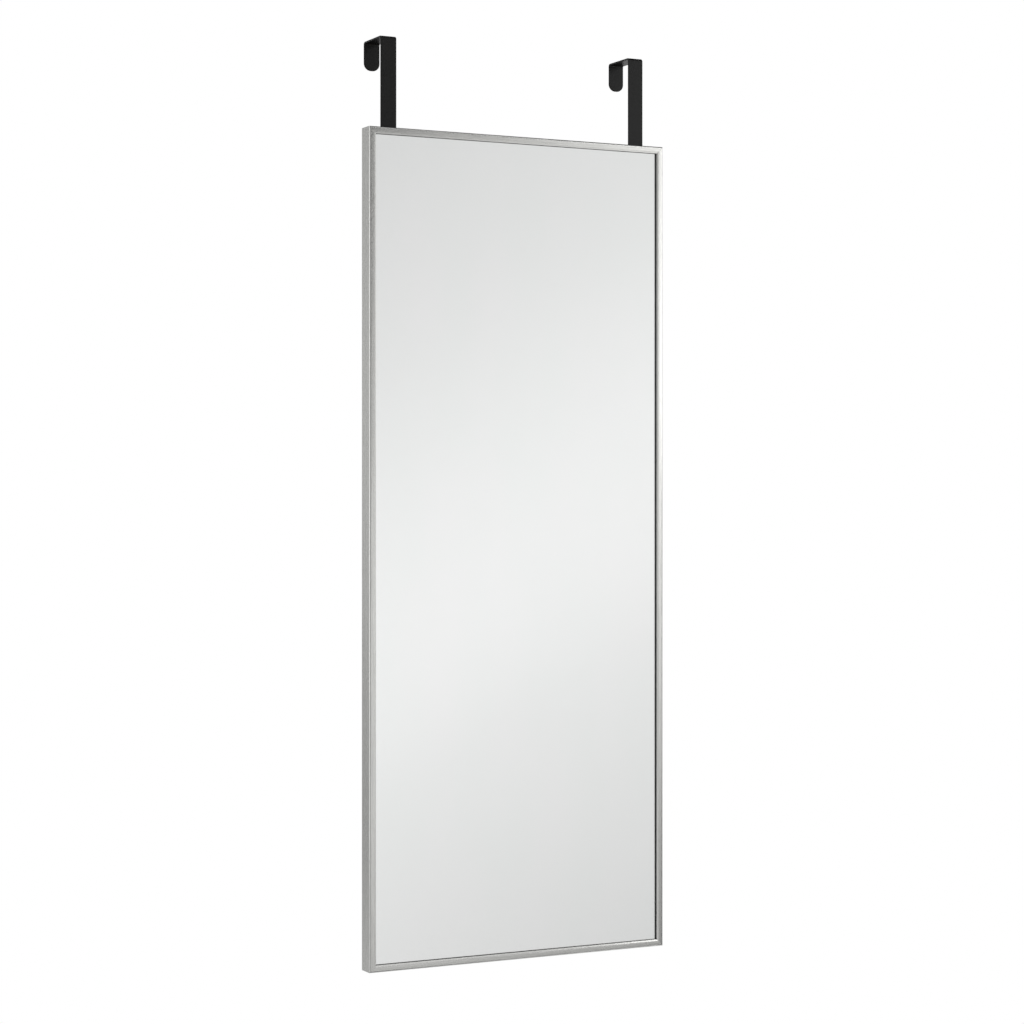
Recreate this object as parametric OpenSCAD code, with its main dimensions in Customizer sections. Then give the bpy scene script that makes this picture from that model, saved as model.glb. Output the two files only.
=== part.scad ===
// Over the door mirror: a mitred aluminium frame round one sheet of mirror glass,
// held against the door by two bent steel hooks.
// The origin is the top front edge of the door, midway between the hooks.
// X runs to the right, Y runs through the door, away from the mirror, and Z is up.
// Millimetres throughout.

/* [Frame] */
// Width of the frame over its outer faces
frame_w = 400; // [300:5:600]
// Height of the frame over its outer faces
frame_h = 1000; // [600:10:1400]
// Depth of the frame, from its front face to its rear face
frame_d = 23.5; // [23:0.5:30]
// Width of the flat front face of a rail
face_w = 6.7; // [5:0.1:8]
// Width of the bevel along the inner edge of the front face
bevel_w = 1.8; // [1:0.1:2.5]
// Depth of the bevel at the lip's inner edge
bevel_d = 1.1; // [0.4:0.1:1.2]
// Thickness of the front lip where it bears on the gasket
lip_t = 1.6; // [1.4:0.1:2.4]
// Thickness of the extrusion's other walls
wall_t = 1.4; // [1.2:0.1:1.8]
// Thickness of the rib between the glass channel and the rear channel
rib_t = 1.5; // [1.2:0.1:2]
// Width of the rear channel over its walls
channel_w = 14; // [13:0.5:18]
// Width of each return that half closes the rear channel
return_w = 3; // [2:0.25:3.5]
// Radius of the frame's outer front edge
edge_r = 1.8; // [0.4:0.1:2]

/* [Glass pack] */
// Thickness of the mirror glass
glass_t = 3; // [2:0.5:4]
// Thickness of the safety film on the back of the glass
film_t = 0.2; // [0.1:0.05:0.4]
// Thickness of the foam liner behind the film
liner_t = 1.5; // [0.5:0.25:1.5]
// Thickness of the backing board
board_t = 3; // [2:0.5:3]
// Distance from the frame's outer face to the edge of the glass
pack_inset = 2; // [1.9:0.1:3]
// Thickness of the gasket between the front lip and the glass
gasket_t = 0.6; // [0.5:0.1:1]
// How far the gasket shows past the front lip
gasket_show = 0; // [0:0.1:1.5]

/* [Leaf springs] */
// Length of a leaf spring along its rail
spring_l = 50; // [40:1:70]
// Width of a leaf spring
spring_w = 9; // [6:0.5:9]
// Thickness of the spring strip
spring_t = 0.5; // [0.3:0.1:0.6]
// Room for the springs between the board and the rib
spring_gap = 3.6; // [3:0.1:4]
// Distance between the springs along a side rail
spring_pitch = 300; // [150:10:400]

/* [Hooks] */
// Width of the flat steel
strap_w = 20.5; // [15:0.5:25]
// Thickness of the flat steel
strap_t = 2; // [1.5:0.25:2.5]
// Distance from the frame's side to the middle of the hook
hook_inset = 31; // [30:1:120]
// Height of the door's top edge above the frame
hook_rise = 109; // [60:1:160]
// Clear gap in the hook, from the strap to the tab behind the door
hook_gap = 47.5; // [43:0.5:60]
// Length of the tab, from the top of the hook to its end
tab_l = 34.5; // [28:0.5:60]
// Radius of the two corners at the tab's end
tab_r = 9; // [3:0.5:10]
// Inner radius of the hook's two bends
bend_r = 1.5; // [1:0.25:4]

/* [Corner keys and screws] */
// How far a key's arm runs past the hook that it clamps
key_past = 6; // [4:1:12]
// Radius of a set screw's thread
screw_r = 2; // [1.5:0.25:2]
// Length of a set screw
screw_l = 7; // [5:0.5:7]
// Distance between the two set screws of an arm
screw_pitch = 12; // [10:1:14]
// Width across the flats of the screw's socket
socket_af = 2; // [1.5:0.25:2]

/* [Door bumpers] */
// Radius of a bumper
bumper_r = 6; // [5:0.5:6.5]
// Thickness of a bumper
bumper_t = 1.5; // [1:0.25:3]
// Distance from the frame's top or bottom to the middle of a bumper
bumper_at = 60; // [52:1:90]

/* [Hidden] */

// Depths, measured back from the frame's front face
glass_b = lip_t + gasket_t;
film_b = glass_b + glass_t;
liner_b = film_b + film_t;
board_b = liner_b + liner_t;
pack_b = board_b + board_t;
rib_b = pack_b + spring_gap;
floor_b = rib_b + rib_t;
return_b = frame_d - wall_t;

// Places in the part's own frame
front_y = -(frame_d + bumper_t);
centre_z = -(hook_rise + frame_h / 2);
hook_x = frame_w / 2 - hook_inset;
strap_y = front_y + floor_b;
tab_corner_r = min(tab_r, strap_w / 2 - 0.5);

// Gaps between pieces that slide into each other
slide_gap = 0.2;
screw_gap = 0.05;
spring_slack = 0.05;
// How far a cutting shape runs past what it cuts
over = 1;

channel_a = channel_w / 2;
lip_w = face_w + bevel_w;

// A key fills its channel, less the thickness of the strap that the top keys clamp
key_inset = wall_t + slide_gap;
key_w = channel_w - 2 * key_inset;
key_t = return_b - floor_b - strap_t;
key_l = hook_inset + strap_w / 2 + key_past - key_inset;
screw_places = [hook_inset - screw_pitch / 2, hook_inset + screw_pitch / 2];
screw_tip = 0.6;
socket_depth = 2.5;
slot_gap = 0.1;

// Turns a piece of the top rail round to each side of the frame
TOP = 0;
RIGHT = 90;
BOTTOM = 180;
LEFT = 270;

// Whether an arm of the key on the given corner clamps a hook. The corner pieces are turned
// with their corner, so the top left key's arm along the top rail is its upright one.
function on_hook(turn, upright) =
    (turn == TOP && !upright) || (turn == LEFT && upright);

$fn = 48;

// ---- helpers ----

// Moves a shape built round the middle of the front face to its place
module in_frame() {
    translate([0, front_y, centre_z]) children();
}

// Puts a shape built at the top right corner, outer corner at the origin, on another corner
module on_corner(turn) {
    right = turn == TOP || turn == RIGHT;
    upper = turn == TOP || turn == LEFT;
    translate([right ? frame_w / 2 : -frame_w / 2, 0, upper ? frame_h / 2 : -frame_h / 2])
        rotate([0, turn, 0])
            children();
}

// A bar of the given profile along one side of the frame, mitred at both ends.
// The profile's x runs inwards from the outer face and its y runs back from the front face.
module mitred_bar(length, reach, inner_w) {
    intersection() {
        translate([0, 0, reach])
            rotate([0, 90, 0])
                linear_extrude(length + 2 * over, center = true)
                    children();
        translate([0, frame_d + over, 0])
            rotate([90, 0, 0])
                linear_extrude(frame_d + 2 * over)
                    polygon([
                        [-length / 2 - over, reach + over],
                        [length / 2 + over, reach + over],
                        [length / 2 - inner_w, reach - inner_w],
                        [-length / 2 + inner_w, reach - inner_w]
                    ]);
    }
}

// Runs its children as a bar along the side that the turn names
module along_side(turn, inner_w) {
    upright = turn == LEFT || turn == RIGHT;
    length = upright ? frame_h : frame_w;
    reach = upright ? frame_w / 2 : frame_h / 2;
    in_frame()
        rotate([0, turn, 0])
            mitred_bar(length, reach, inner_w)
                children();
}

// A hole or rod along Y from the given depth
module rod_y(r, from, length) {
    translate([0, from + length, 0])
        rotate([90, 0, 0])
            cylinder(r = r, h = length);
}

// ---- frame rails ----

// Section of the extrusion: outer wall, front lip with its bevel, rib, and the rear channel
module rail_profile() {
    difference() {
        union() {
            square([wall_t, frame_d]);
            polygon([
                [0, 0],
                [face_w, 0],
                [lip_w, bevel_d],
                [lip_w, lip_t],
                [0, lip_t]
            ]);
            translate([0, rib_b])
                square([channel_w, rib_t]);
            translate([channel_w - wall_t, rib_b])
                square([wall_t, frame_d - rib_b]);
            translate([0, return_b])
                square([wall_t + return_w, wall_t]);
            translate([channel_w - wall_t - return_w, return_b])
                square([wall_t + return_w, wall_t]);
        }
        difference() {
            translate([-over, -over])
                square(edge_r + over);
            translate([edge_r, edge_r])
                circle(edge_r);
        }
    }
}

module rail(turn) {
    along_side(turn, channel_w + over)
        rail_profile();
}

// The top rail is slotted through its outer wall for the two straps
module rail_top() {
    color("silver")
        difference() {
            rail(TOP);
            for (side = [-1, 1])
                translate([side * hook_x, strap_y + (strap_t + slot_gap) / 2, -hook_rise])
                    cube([strap_w + 2 * slide_gap, strap_t + slot_gap, 2 * wall_t], center = true);
        }
}

module rail_bottom() {
    color("silver")
        rail(BOTTOM);
}

module rail_left() {
    color("silver")
        rail(LEFT);
}

module rail_right() {
    color("silver")
        rail(RIGHT);
}

// ---- corner keys ----

// Places its children at a key's two screws along X, or along Z where upright is true
module at_key_screws(upright) {
    for (along = screw_places)
        translate(upright ? [-channel_a, 0, -along] : [-along, 0, -channel_a])
            children();
}

// Angle block that bears on the returns of two rails, with two threaded holes in each arm.
// The horizontal arm of a top key also clamps the foot of a hook against the rib.
module corner_key(turn) {
    color("slategray")
        in_frame()
            on_corner(turn)
                difference() {
                    translate([-key_inset, return_b, -key_inset])
                        rotate([90, 0, 0])
                            linear_extrude(key_t)
                                difference() {
                                    translate([-key_l, -key_l])
                                        square(key_l);
                                    translate([-key_l - key_w, -key_l - key_w])
                                        square(key_l);
                                }
                    for (upright = [false, true])
                        at_key_screws(upright)
                            rod_y(screw_r + screw_gap, floor_b, frame_d - floor_b);
                }
}

module corner_key_top_left() {
    corner_key(LEFT);
}

module corner_key_top_right() {
    corner_key(TOP);
}

module corner_key_bottom_left() {
    corner_key(BOTTOM);
}

module corner_key_bottom_right() {
    corner_key(RIGHT);
}

// Headless screw with a cone point on the rib and a hexagon socket at the back
module set_screw() {
    translate([0, floor_b, 0])
        rotate([-90, 0, 0])
            difference() {
                rotate_extrude()
                    polygon([
                        [0, 0],
                        [screw_r - screw_tip, 0],
                        [screw_r, screw_tip],
                        [screw_r, screw_l],
                        [0, screw_l]
                    ]);
                translate([0, 0, screw_l - socket_depth])
                    cylinder(r = socket_af / 2 / cos(30), h = socket_depth + over, $fn = 6);
            }
}

// Two screws in every arm but those that clamp a hook
module corner_set_screws() {
    color("dimgray")
        in_frame()
            for (turn = [TOP, RIGHT, BOTTOM, LEFT], upright = [false, true])
                if (!on_hook(turn, upright))
                    on_corner(turn)
                        at_key_screws(upright)
                            set_screw();
}

// The two screws that pass through the foot of each hook
module hook_set_screws() {
    color("dimgray")
        in_frame()
            for (turn = [TOP, LEFT], upright = [false, true])
                if (on_hook(turn, upright))
                    on_corner(turn)
                        at_key_screws(upright)
                            set_screw();
}

// ---- glass pack ----

// One sheet of the pack, centred in the frame
module pack_sheet(from, thick) {
    in_frame()
        translate([0, from + thick / 2, 0])
            cube([frame_w - 2 * pack_inset, thick, frame_h - 2 * pack_inset], center = true);
}

module mirror_glass() {
    color("lightgray")
        pack_sheet(glass_b, glass_t);
}

module safety_film() {
    color("dimgray")
        pack_sheet(film_b, film_t);
}

module foam_liner() {
    color("white")
        pack_sheet(liner_b, liner_t);
}

module backing_board() {
    color("sienna")
        pack_sheet(board_b, board_t);
}

// ---- gaskets ----

module gasket(turn) {
    color([0.08, 0.08, 0.08])
        along_side(turn, lip_w + gasket_show + over)
            translate([pack_inset, lip_t])
                square([lip_w + gasket_show - pack_inset, gasket_t]);
}

module gasket_top() {
    gasket(TOP);
}

module gasket_bottom() {
    gasket(BOTTOM);
}

module gasket_left() {
    gasket(LEFT);
}

module gasket_right() {
    gasket(RIGHT);
}

// ---- leaf springs ----

// Bowed strip along X: its ends bear on the board and its crown on the rib
module leaf_spring() {
    rise = spring_gap - spring_t - 2 * spring_slack;
    inner_r = (pow(spring_l / 2, 2) + rise * rise) / (2 * rise);
    half_angle = asin(spring_l / 2 / inner_r);
    translate([0, rib_b - spring_slack - spring_t - inner_r, -channel_a - spring_w / 2])
        rotate([0, 0, 90 - half_angle])
            rotate_extrude(angle = 2 * half_angle)
                translate([inner_r, 0])
                    square([spring_t, spring_w]);
}

module leaf_springs() {
    color("lightsteelblue")
        in_frame() {
            for (turn = [TOP, BOTTOM])
                rotate([0, turn, 0])
                    translate([0, 0, frame_h / 2])
                        leaf_spring();
            for (turn = [LEFT, RIGHT], place = [-1, 0, 1])
                rotate([0, turn, 0])
                    translate([place * spring_pitch, 0, frame_w / 2])
                        leaf_spring();
        }
}

// ---- hooks ----

// Rectangle whose top edge lies on y = 0, with its two top corners rounded
module round_top(w, h, r) {
    translate([0, -h])
        square([w, h - r]);
    translate([r, -h])
        square([w - 2 * r, h]);
    for (x = [r, w - r])
        translate([x, -r])
            circle(r);
}

// Side view of a hook: strap, bridge over the door and tab behind it
module hook_profile() {
    strap_l = strap_t + hook_rise + channel_w - wall_t - slide_gap;
    outer_w = hook_gap + 2 * strap_t;
    difference() {
        translate([0, strap_t])
            round_top(outer_w, strap_l, bend_r + strap_t);
        translate([strap_t, 0])
            round_top(hook_gap, strap_l, bend_r);
        translate([outer_w / 2, strap_t - tab_l - strap_l])
            square([outer_w, strap_l]);
    }
}

// Front view of a tab, its end on y = 0 with both corners rounded
module tab_outline() {
    translate([strap_w / 2, 0])
        rotate(180)
            round_top(strap_w, tab_l + over, tab_corner_r);
}

// Flat steel bent twice, with a rounded end on its tab and two holes at its foot
module hook(side) {
    color([0.12, 0.12, 0.12])
        translate([side * hook_x, strap_y, 0])
            difference() {
                intersection() {
                    rotate([90, 0, 90])
                        linear_extrude(strap_w, center = true)
                            hook_profile();
                    union() {
                        translate([-strap_w, -over, -hook_rise - channel_w])
                            cube([2 * strap_w, hook_gap / 2, hook_rise + channel_w + strap_t + over]);
                        translate([0, hook_gap + 2 * strap_t + over, strap_t - tab_l])
                            rotate([90, 0, 0])
                                linear_extrude(hook_gap + 2 * strap_t + 2 * over)
                                    tab_outline();
                    }
                }
                for (x = [-1, 1] * screw_pitch / 2)
                    translate([x, 0, -hook_rise - channel_a])
                        rod_y(screw_r + 3 * screw_gap, -over, strap_t + 2 * over);
            }
}

module hook_left() {
    hook(-1);
}

module hook_right() {
    hook(1);
}

// ---- door bumpers ----

// Round rubber pad on the rear face, bridging the channel, with a small chamfer
module bumper(side, level) {
    chamfer = bumper_t / 4;
    color([0.2, 0.2, 0.2])
        in_frame()
            translate([side * (frame_w / 2 - channel_a), frame_d, level * (frame_h / 2 - bumper_at)])
                rotate([-90, 0, 0])
                    rotate_extrude()
                        polygon([
                            [0, 0],
                            [bumper_r, 0],
                            [bumper_r, bumper_t - chamfer],
                            [bumper_r - chamfer, bumper_t],
                            [0, bumper_t]
                        ]);
}

module bumper_top_left() {
    bumper(-1, 1);
}

module bumper_top_right() {
    bumper(1, 1);
}

module bumper_bottom_left() {
    bumper(-1, -1);
}

module bumper_bottom_right() {
    bumper(1, -1);
}

// ---- assembly ----

rail_top();
rail_bottom();
rail_left();
rail_right();
corner_key_top_left();
corner_key_top_right();
corner_key_bottom_left();
corner_key_bottom_right();
corner_set_screws();
mirror_glass();
safety_film();
foam_liner();
backing_board();
gasket_top();
gasket_bottom();
gasket_left();
gasket_right();
leaf_springs();
hook_left();
hook_right();
hook_set_screws();
bumper_top_left();
bumper_top_right();
bumper_bottom_left();
bumper_bottom_right();
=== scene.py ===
"""Looks of an over-door mirror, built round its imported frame.

Lengths are in metres. X runs to the right as seen by someone who faces the mirror, Y runs
through the door, away from the mirror, and Z is up. The origin is the door's top front edge,
midway between the two hooks.
"""

import logging
import math
from collections.abc import Callable, Iterable, Sequence
from dataclasses import dataclass
from enum import Enum
from typing import Any

import bmesh
import bpy
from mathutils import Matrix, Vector

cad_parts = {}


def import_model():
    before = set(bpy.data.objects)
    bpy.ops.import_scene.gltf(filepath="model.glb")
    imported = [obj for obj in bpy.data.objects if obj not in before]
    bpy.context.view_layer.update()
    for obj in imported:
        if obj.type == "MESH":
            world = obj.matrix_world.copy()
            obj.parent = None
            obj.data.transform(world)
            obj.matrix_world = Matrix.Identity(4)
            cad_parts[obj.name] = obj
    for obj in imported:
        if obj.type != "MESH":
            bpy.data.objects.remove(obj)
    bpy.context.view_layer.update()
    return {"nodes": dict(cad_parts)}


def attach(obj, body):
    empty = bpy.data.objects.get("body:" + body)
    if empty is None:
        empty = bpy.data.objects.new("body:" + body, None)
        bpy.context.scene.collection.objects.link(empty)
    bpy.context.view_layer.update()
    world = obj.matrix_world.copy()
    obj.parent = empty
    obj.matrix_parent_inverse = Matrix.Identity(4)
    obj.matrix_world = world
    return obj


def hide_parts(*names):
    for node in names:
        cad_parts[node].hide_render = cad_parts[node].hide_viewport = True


LOG = logging.getLogger("over_door_mirror")
MM = 0.001
TINY = 1e-6
BODY = "root"

SQUARE = ((-1.0, -1.0), (1.0, -1.0), (1.0, 1.0), (-1.0, 1.0))
NOISE_MIDDLE = (0.3, 0.7)
UPWARD = (0.0, 0.0, 1.0)

Triple = tuple[float, float, float]
Face = tuple[int, ...]
Sockets = dict[str, bpy.types.NodeSocket]


# ---- node trees ----


class NodeGraph:
    """Adds and links the nodes of one tree."""

    def __init__(self, tree: bpy.types.NodeTree) -> None:
        """Keeps the tree that the nodes go into."""
        self.tree = tree

    def fill(self, node: bpy.types.Node, inputs: dict[str | int, Any]) -> None:
        """Fills inputs of a node.

        Args:
            node: The node.
            inputs: Input name or number, to a value or to the output that feeds it.
        """
        for key, value in inputs.items():
            if isinstance(value, bpy.types.NodeSocket):
                self.tree.links.new(value, node.inputs[key])
            else:
                node.inputs[key].default_value = value

    def add(
        self, kind: str, inputs: dict[str | int, Any] | None = None, **settings: Any
    ) -> bpy.types.Node:
        """Adds a node, sets its properties and fills its inputs.

        Args:
            kind: The node's type.
            inputs: Input name or number, to a value or to the output that feeds it.
            **settings: The node's own properties.

        Returns:
            The new node.
        """
        node = self.tree.nodes.new(kind)
        for name, value in settings.items():
            setattr(node, name, value)
        self.fill(node, inputs or {})
        return node

    def math(self, operation: str, *values: Any, clamp: bool = False) -> bpy.types.NodeSocket:
        """Returns the result of a Math node on numbers or sockets."""
        inputs = dict(enumerate(values))
        return self.add("ShaderNodeMath", inputs, operation=operation, use_clamp=clamp).outputs[0]

    def times(self, value: Any, factor: Any, clamp: bool = False) -> bpy.types.NodeSocket:
        """Returns the product of two numbers."""
        return self.math("MULTIPLY", value, factor, clamp=clamp)

    def plus(self, value: Any, more: Any) -> bpy.types.NodeSocket:
        """Returns the sum of two numbers."""
        return self.math("ADD", value, more)

    def minus(self, value: Any, less: Any) -> bpy.types.NodeSocket:
        """Returns the difference of two numbers."""
        return self.math("SUBTRACT", value, less)

    def point(self, x: Any = 0.0, y: Any = 0.0, z: Any = 0.0) -> bpy.types.NodeSocket:
        """Returns a vector put together from numbers."""
        return self.add("ShaderNodeCombineXYZ", {0: x, 1: y, 2: z}).outputs[0]

    def axes(self, vector: Any) -> bpy.types.NodeOutputs:
        """Returns a vector's X, Y and Z."""
        return self.add("ShaderNodeSeparateXYZ", {0: vector}).outputs

    def vector(self, operation: str, *values: Any) -> bpy.types.NodeSocket:
        """Returns the result of a Vector Math node: a number or a vector, as the operation has."""
        node = self.add("ShaderNodeVectorMath", dict(enumerate(values)), operation=operation)
        return node.outputs["Value" if operation in ("DOT_PRODUCT", "LENGTH") else "Vector"]

    def scaled(self, vector: Any, factor: Any) -> bpy.types.NodeSocket:
        """Returns a vector times a number."""
        values = {"Vector": vector, "Scale": factor}
        return self.add("ShaderNodeVectorMath", values, operation="SCALE").outputs[0]

    def remap(
        self, value: Any, low: float, high: float, to_low: float = 0.0, to_high: float = 1.0
    ) -> bpy.types.NodeSocket:
        """Returns value moved smoothly from one range to another, and held at its ends."""
        values = {0: value, 1: low, 2: high, 3: to_low, 4: to_high}
        return self.add("ShaderNodeMapRange", values, interpolation_type="SMOOTHSTEP").outputs[0]

    def spread(self, noise: Any, to_low: float, to_high: float) -> bpy.types.NodeSocket:
        """Returns the middle of a noise's range moved to another range."""
        return self.remap(noise, *NOISE_MIDDLE, to_low, to_high)

    def mix(self, factor: Any, low: Any, high: Any) -> bpy.types.NodeSocket:
        """Returns a colour between two colours."""
        return self.add("ShaderNodeMix", {0: factor, 6: low, 7: high}, data_type="RGBA").outputs[2]

    def blend(self, factor: Any, low: Any, high: Any) -> bpy.types.NodeSocket:
        """Returns a number between two numbers."""
        return self.add("ShaderNodeMix", {0: factor, 2: low, 3: high}, data_type="FLOAT").outputs[0]

    def noise(self, coords: Any, scale: float, detail: float) -> bpy.types.NodeSocket:
        """Returns the value of a Noise texture, about 0 to 1."""
        values = {"Vector": coords, "Scale": scale, "Detail": detail}
        return self.add("ShaderNodeTexNoise", values).outputs[0]

    def streaks(self, coords: Any, stretch: Triple, detail: float) -> bpy.types.NodeSocket:
        """Returns the value of a Noise texture with its own scale along X, Y and Z."""
        return self.noise(self.vector("MULTIPLY", coords, stretch), 1.0, detail)

    def bump(self, height: Any, depth: float, strength: float) -> bpy.types.NodeSocket:
        """Returns the normal of a surface raised by height times depth, in metres."""
        values = {"Height": height, "Distance": depth, "Strength": strength}
        return self.add("ShaderNodeBump", values).outputs["Normal"]


def colour(tone: Triple) -> tuple[float, float, float, float]:
    """Returns an opaque colour from its red, green and blue."""
    return (*tone, 1.0)


def grey(level: float) -> tuple[float, float, float, float]:
    """Returns an opaque neutral colour."""
    return colour((level, level, level))


# ---- effects that several finishes share ----


@dataclass(frozen=True)
class Effect:
    """A shader node group with named inputs and outputs, built once."""

    name: str
    inputs: tuple[tuple[str, str, Any], ...]
    outputs: tuple[tuple[str, str], ...]
    wire: Callable[[NodeGraph, Sockets], Sockets]

    def tree(self) -> bpy.types.NodeTree:
        """Builds the group the first time.

        Returns:
            The group's tree.
        """
        found = bpy.data.node_groups.get(self.name)
        if found is not None:
            return found
        tree = bpy.data.node_groups.new(self.name, "ShaderNodeTree")
        for name, kind, default in self.inputs:
            socket = tree.interface.new_socket(name, in_out="INPUT", socket_type=kind)
            if default is not None:
                socket.default_value = default
        for name, kind in self.outputs:
            tree.interface.new_socket(name, in_out="OUTPUT", socket_type=kind)
        graph = NodeGraph(tree)
        given = graph.add("NodeGroupInput").outputs
        graph.add("NodeGroupOutput", self.wire(graph, {s.name: s for s in given if s.name}))
        return tree

    def place(self, graph: NodeGraph, inputs: dict[str | int, Any]) -> Sockets:
        """Puts the group into a material.

        Args:
            graph: The material's nodes.
            inputs: This material's own values for the group's inputs.

        Returns:
            The group's outputs by name.
        """
        node = graph.add("ShaderNodeGroup", inputs, node_tree=self.tree())
        return {socket.name: socket for socket in node.outputs}


def wire_brushing(graph: NodeGraph, given: Sockets) -> Sockets:
    """Broad streaks and fine hairlines, drawn out along the brushing.

    Args:
        graph: The group's nodes.
        given: The group's inputs by name.

    Returns:
        The group's outputs by name.
    """
    stretched = graph.vector("MULTIPLY", given["Vector"], given["Stretch"])
    streak = graph.noise(stretched, 1.0, 3.0)
    hairline = graph.noise(graph.scaled(stretched, 4.3), 1.0, 2.0)
    height = graph.math("MULTIPLY_ADD", hairline, 0.7, graph.times(streak, 0.3))
    return {"Streak": streak, "Hairline": hairline, "Height": height}


def wire_mottle(graph: NodeGraph, given: Sockets) -> Sockets:
    """Soft cloudy change of tone over the finer pebbling of a coat or a cast skin.

    Args:
        graph: The group's nodes.
        given: The group's inputs by name.

    Returns:
        The group's outputs by name.
    """
    cloud = graph.noise(given["Vector"], 60.0, 3.0)
    pebble = graph.noise(graph.scaled(given["Vector"], given["Pebbles"]), 1.0, 2.5)
    return {"Cloud": cloud, "Pebble": pebble}


def wire_dust(graph: NodeGraph, given: Sockets) -> Sockets:
    """Dust that settles on what faces up, in uneven patches.

    Args:
        graph: The group's nodes.
        given: The group's inputs by name.

    Returns:
        The group's outputs by name.
    """
    normal = graph.add("ShaderNodeNewGeometry").outputs["Normal"]
    upward = graph.remap(graph.vector("DOT_PRODUCT", normal, UPWARD), 0.35, 1.0)
    patches = graph.remap(graph.noise(given["Vector"], 70.0, 4.0), 0.3, 0.8)
    spread = graph.times(upward, patches)
    return {"Mask": graph.times(spread, given["Amount"], clamp=True)}


def wire_wear(graph: NodeGraph, given: Sockets) -> Sockets:
    """Rubbed places along the edges, broken up so that no edge wears evenly.

    Args:
        graph: The group's nodes.
        given: The group's inputs by name.

    Returns:
        The group's outputs by name.
    """
    broken = graph.remap(graph.noise(given["Vector"], 140.0, 4.0), 0.3, 0.75)
    rubbed = graph.times(given["Edge"], broken)
    return {"Mask": graph.times(rubbed, given["Amount"], clamp=True)}


NUMBER, VECTOR = "NodeSocketFloat", "NodeSocketVector"
BRUSHING = Effect(
    "brushing",
    (("Vector", VECTOR, None), ("Stretch", VECTOR, (1.0, 1.0, 1.0))),
    (("Streak", NUMBER), ("Hairline", NUMBER), ("Height", NUMBER)),
    wire_brushing,
)
MOTTLE = Effect(
    "mottle",
    (("Vector", VECTOR, None), ("Pebbles", NUMBER, 1500.0)),
    (("Cloud", NUMBER), ("Pebble", NUMBER)),
    wire_mottle,
)
DUST = Effect(
    "settled_dust",
    (("Vector", VECTOR, None), ("Amount", NUMBER, 0.5)),
    (("Mask", NUMBER),),
    wire_dust,
)
WEAR = Effect(
    "edge_wear",
    (("Vector", VECTOR, None), ("Edge", NUMBER, 0.0), ("Amount", NUMBER, 0.5)),
    (("Mask", NUMBER),),
    wire_wear,
)


# ---- finishes ----


class Grain(Enum):
    """Which way a rail is brushed, as how far the pattern is squeezed along X, Y and Z."""

    ALONG_X = (9.0, 1100.0, 1100.0)
    ALONG_Z = (1100.0, 1100.0, 9.0)


@dataclass(frozen=True)
class Finish:
    """A surface's material: one Principled shader, which paint() feeds."""

    name: str

    def material(self) -> bpy.types.Material:
        """Builds the material the first time.

        Returns:
            The material.
        """
        found = bpy.data.materials.get(self.name)
        if found is not None:
            return found
        material = bpy.data.materials.new(self.name)
        material.use_nodes = True
        material.node_tree.nodes.clear()
        graph = NodeGraph(material.node_tree)
        shader = graph.add("ShaderNodeBsdfPrincipled")
        graph.add("ShaderNodeOutputMaterial", {"Surface": shader.outputs[0]})
        coords = graph.add("ShaderNodeTexCoord").outputs["Object"]
        graph.fill(shader, self.paint(graph, coords))
        return material

    def paint(self, graph: NodeGraph, coords: bpy.types.NodeSocket) -> dict[str, Any]:
        """Builds the pattern.

        Args:
            graph: The material's nodes.
            coords: Object coordinates.

        Returns:
            What goes into the shader, by input name.
        """
        raise NotImplementedError


def edge_attribute(graph: NodeGraph) -> bpy.types.NodeSocket:
    """Returns the piece's own measure of how near a point is to an edge, 0 to 1."""
    return graph.add("ShaderNodeAttribute", attribute_name="edge").outputs["Fac"]


@dataclass(frozen=True)
class BrushedAluminium(Finish):
    """Satin aluminium, brushed along the rail, a little brighter where hands rub the edges."""

    grain: Grain
    dark: Triple = (0.66, 0.66, 0.64)
    light: Triple = (0.74, 0.74, 0.72)
    rubbed: float = 0.8
    dusty: float = 0.6
    polish: float = 0.18
    hairline_depth: float = 0.008 * MM

    def paint(self, graph: NodeGraph, coords: bpy.types.NodeSocket) -> dict[str, Any]:
        """Builds the pattern.

        Args:
            graph: The material's nodes.
            coords: Object coordinates.

        Returns:
            What goes into the shader, by input name.
        """
        brushed = BRUSHING.place(graph, {"Vector": coords, "Stretch": self.grain.value})
        tone = graph.spread(brushed["Streak"], 0.0, 1.0)
        base = graph.mix(tone, colour(self.dark), colour(self.light))
        wear = WEAR.place(graph, {"Vector": coords, "Edge": edge_attribute(graph), "Amount": 0.5})
        dust = DUST.place(graph, {"Vector": coords, "Amount": 0.35})
        base = graph.mix(wear["Mask"], base, grey(self.rubbed))
        rough = graph.spread(brushed["Hairline"], self.polish, self.polish + 0.08)
        rough = graph.minus(rough, graph.times(wear["Mask"], 0.05))
        rough = graph.plus(rough, graph.times(dust["Mask"], 0.15))
        tangent = graph.add("ShaderNodeTangent", direction_type="UV_MAP", uv_map="UVMap")
        return {
            "Base Color": graph.mix(dust["Mask"], base, grey(self.dusty)),
            "Metallic": 1.0,
            "Roughness": rough,
            "Anisotropic": 0.5,
            "Anisotropic Rotation": 0.25,
            "Tangent": tangent.outputs[0],
            "Normal": graph.bump(brushed["Height"], self.hairline_depth, 0.3),
        }


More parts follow.
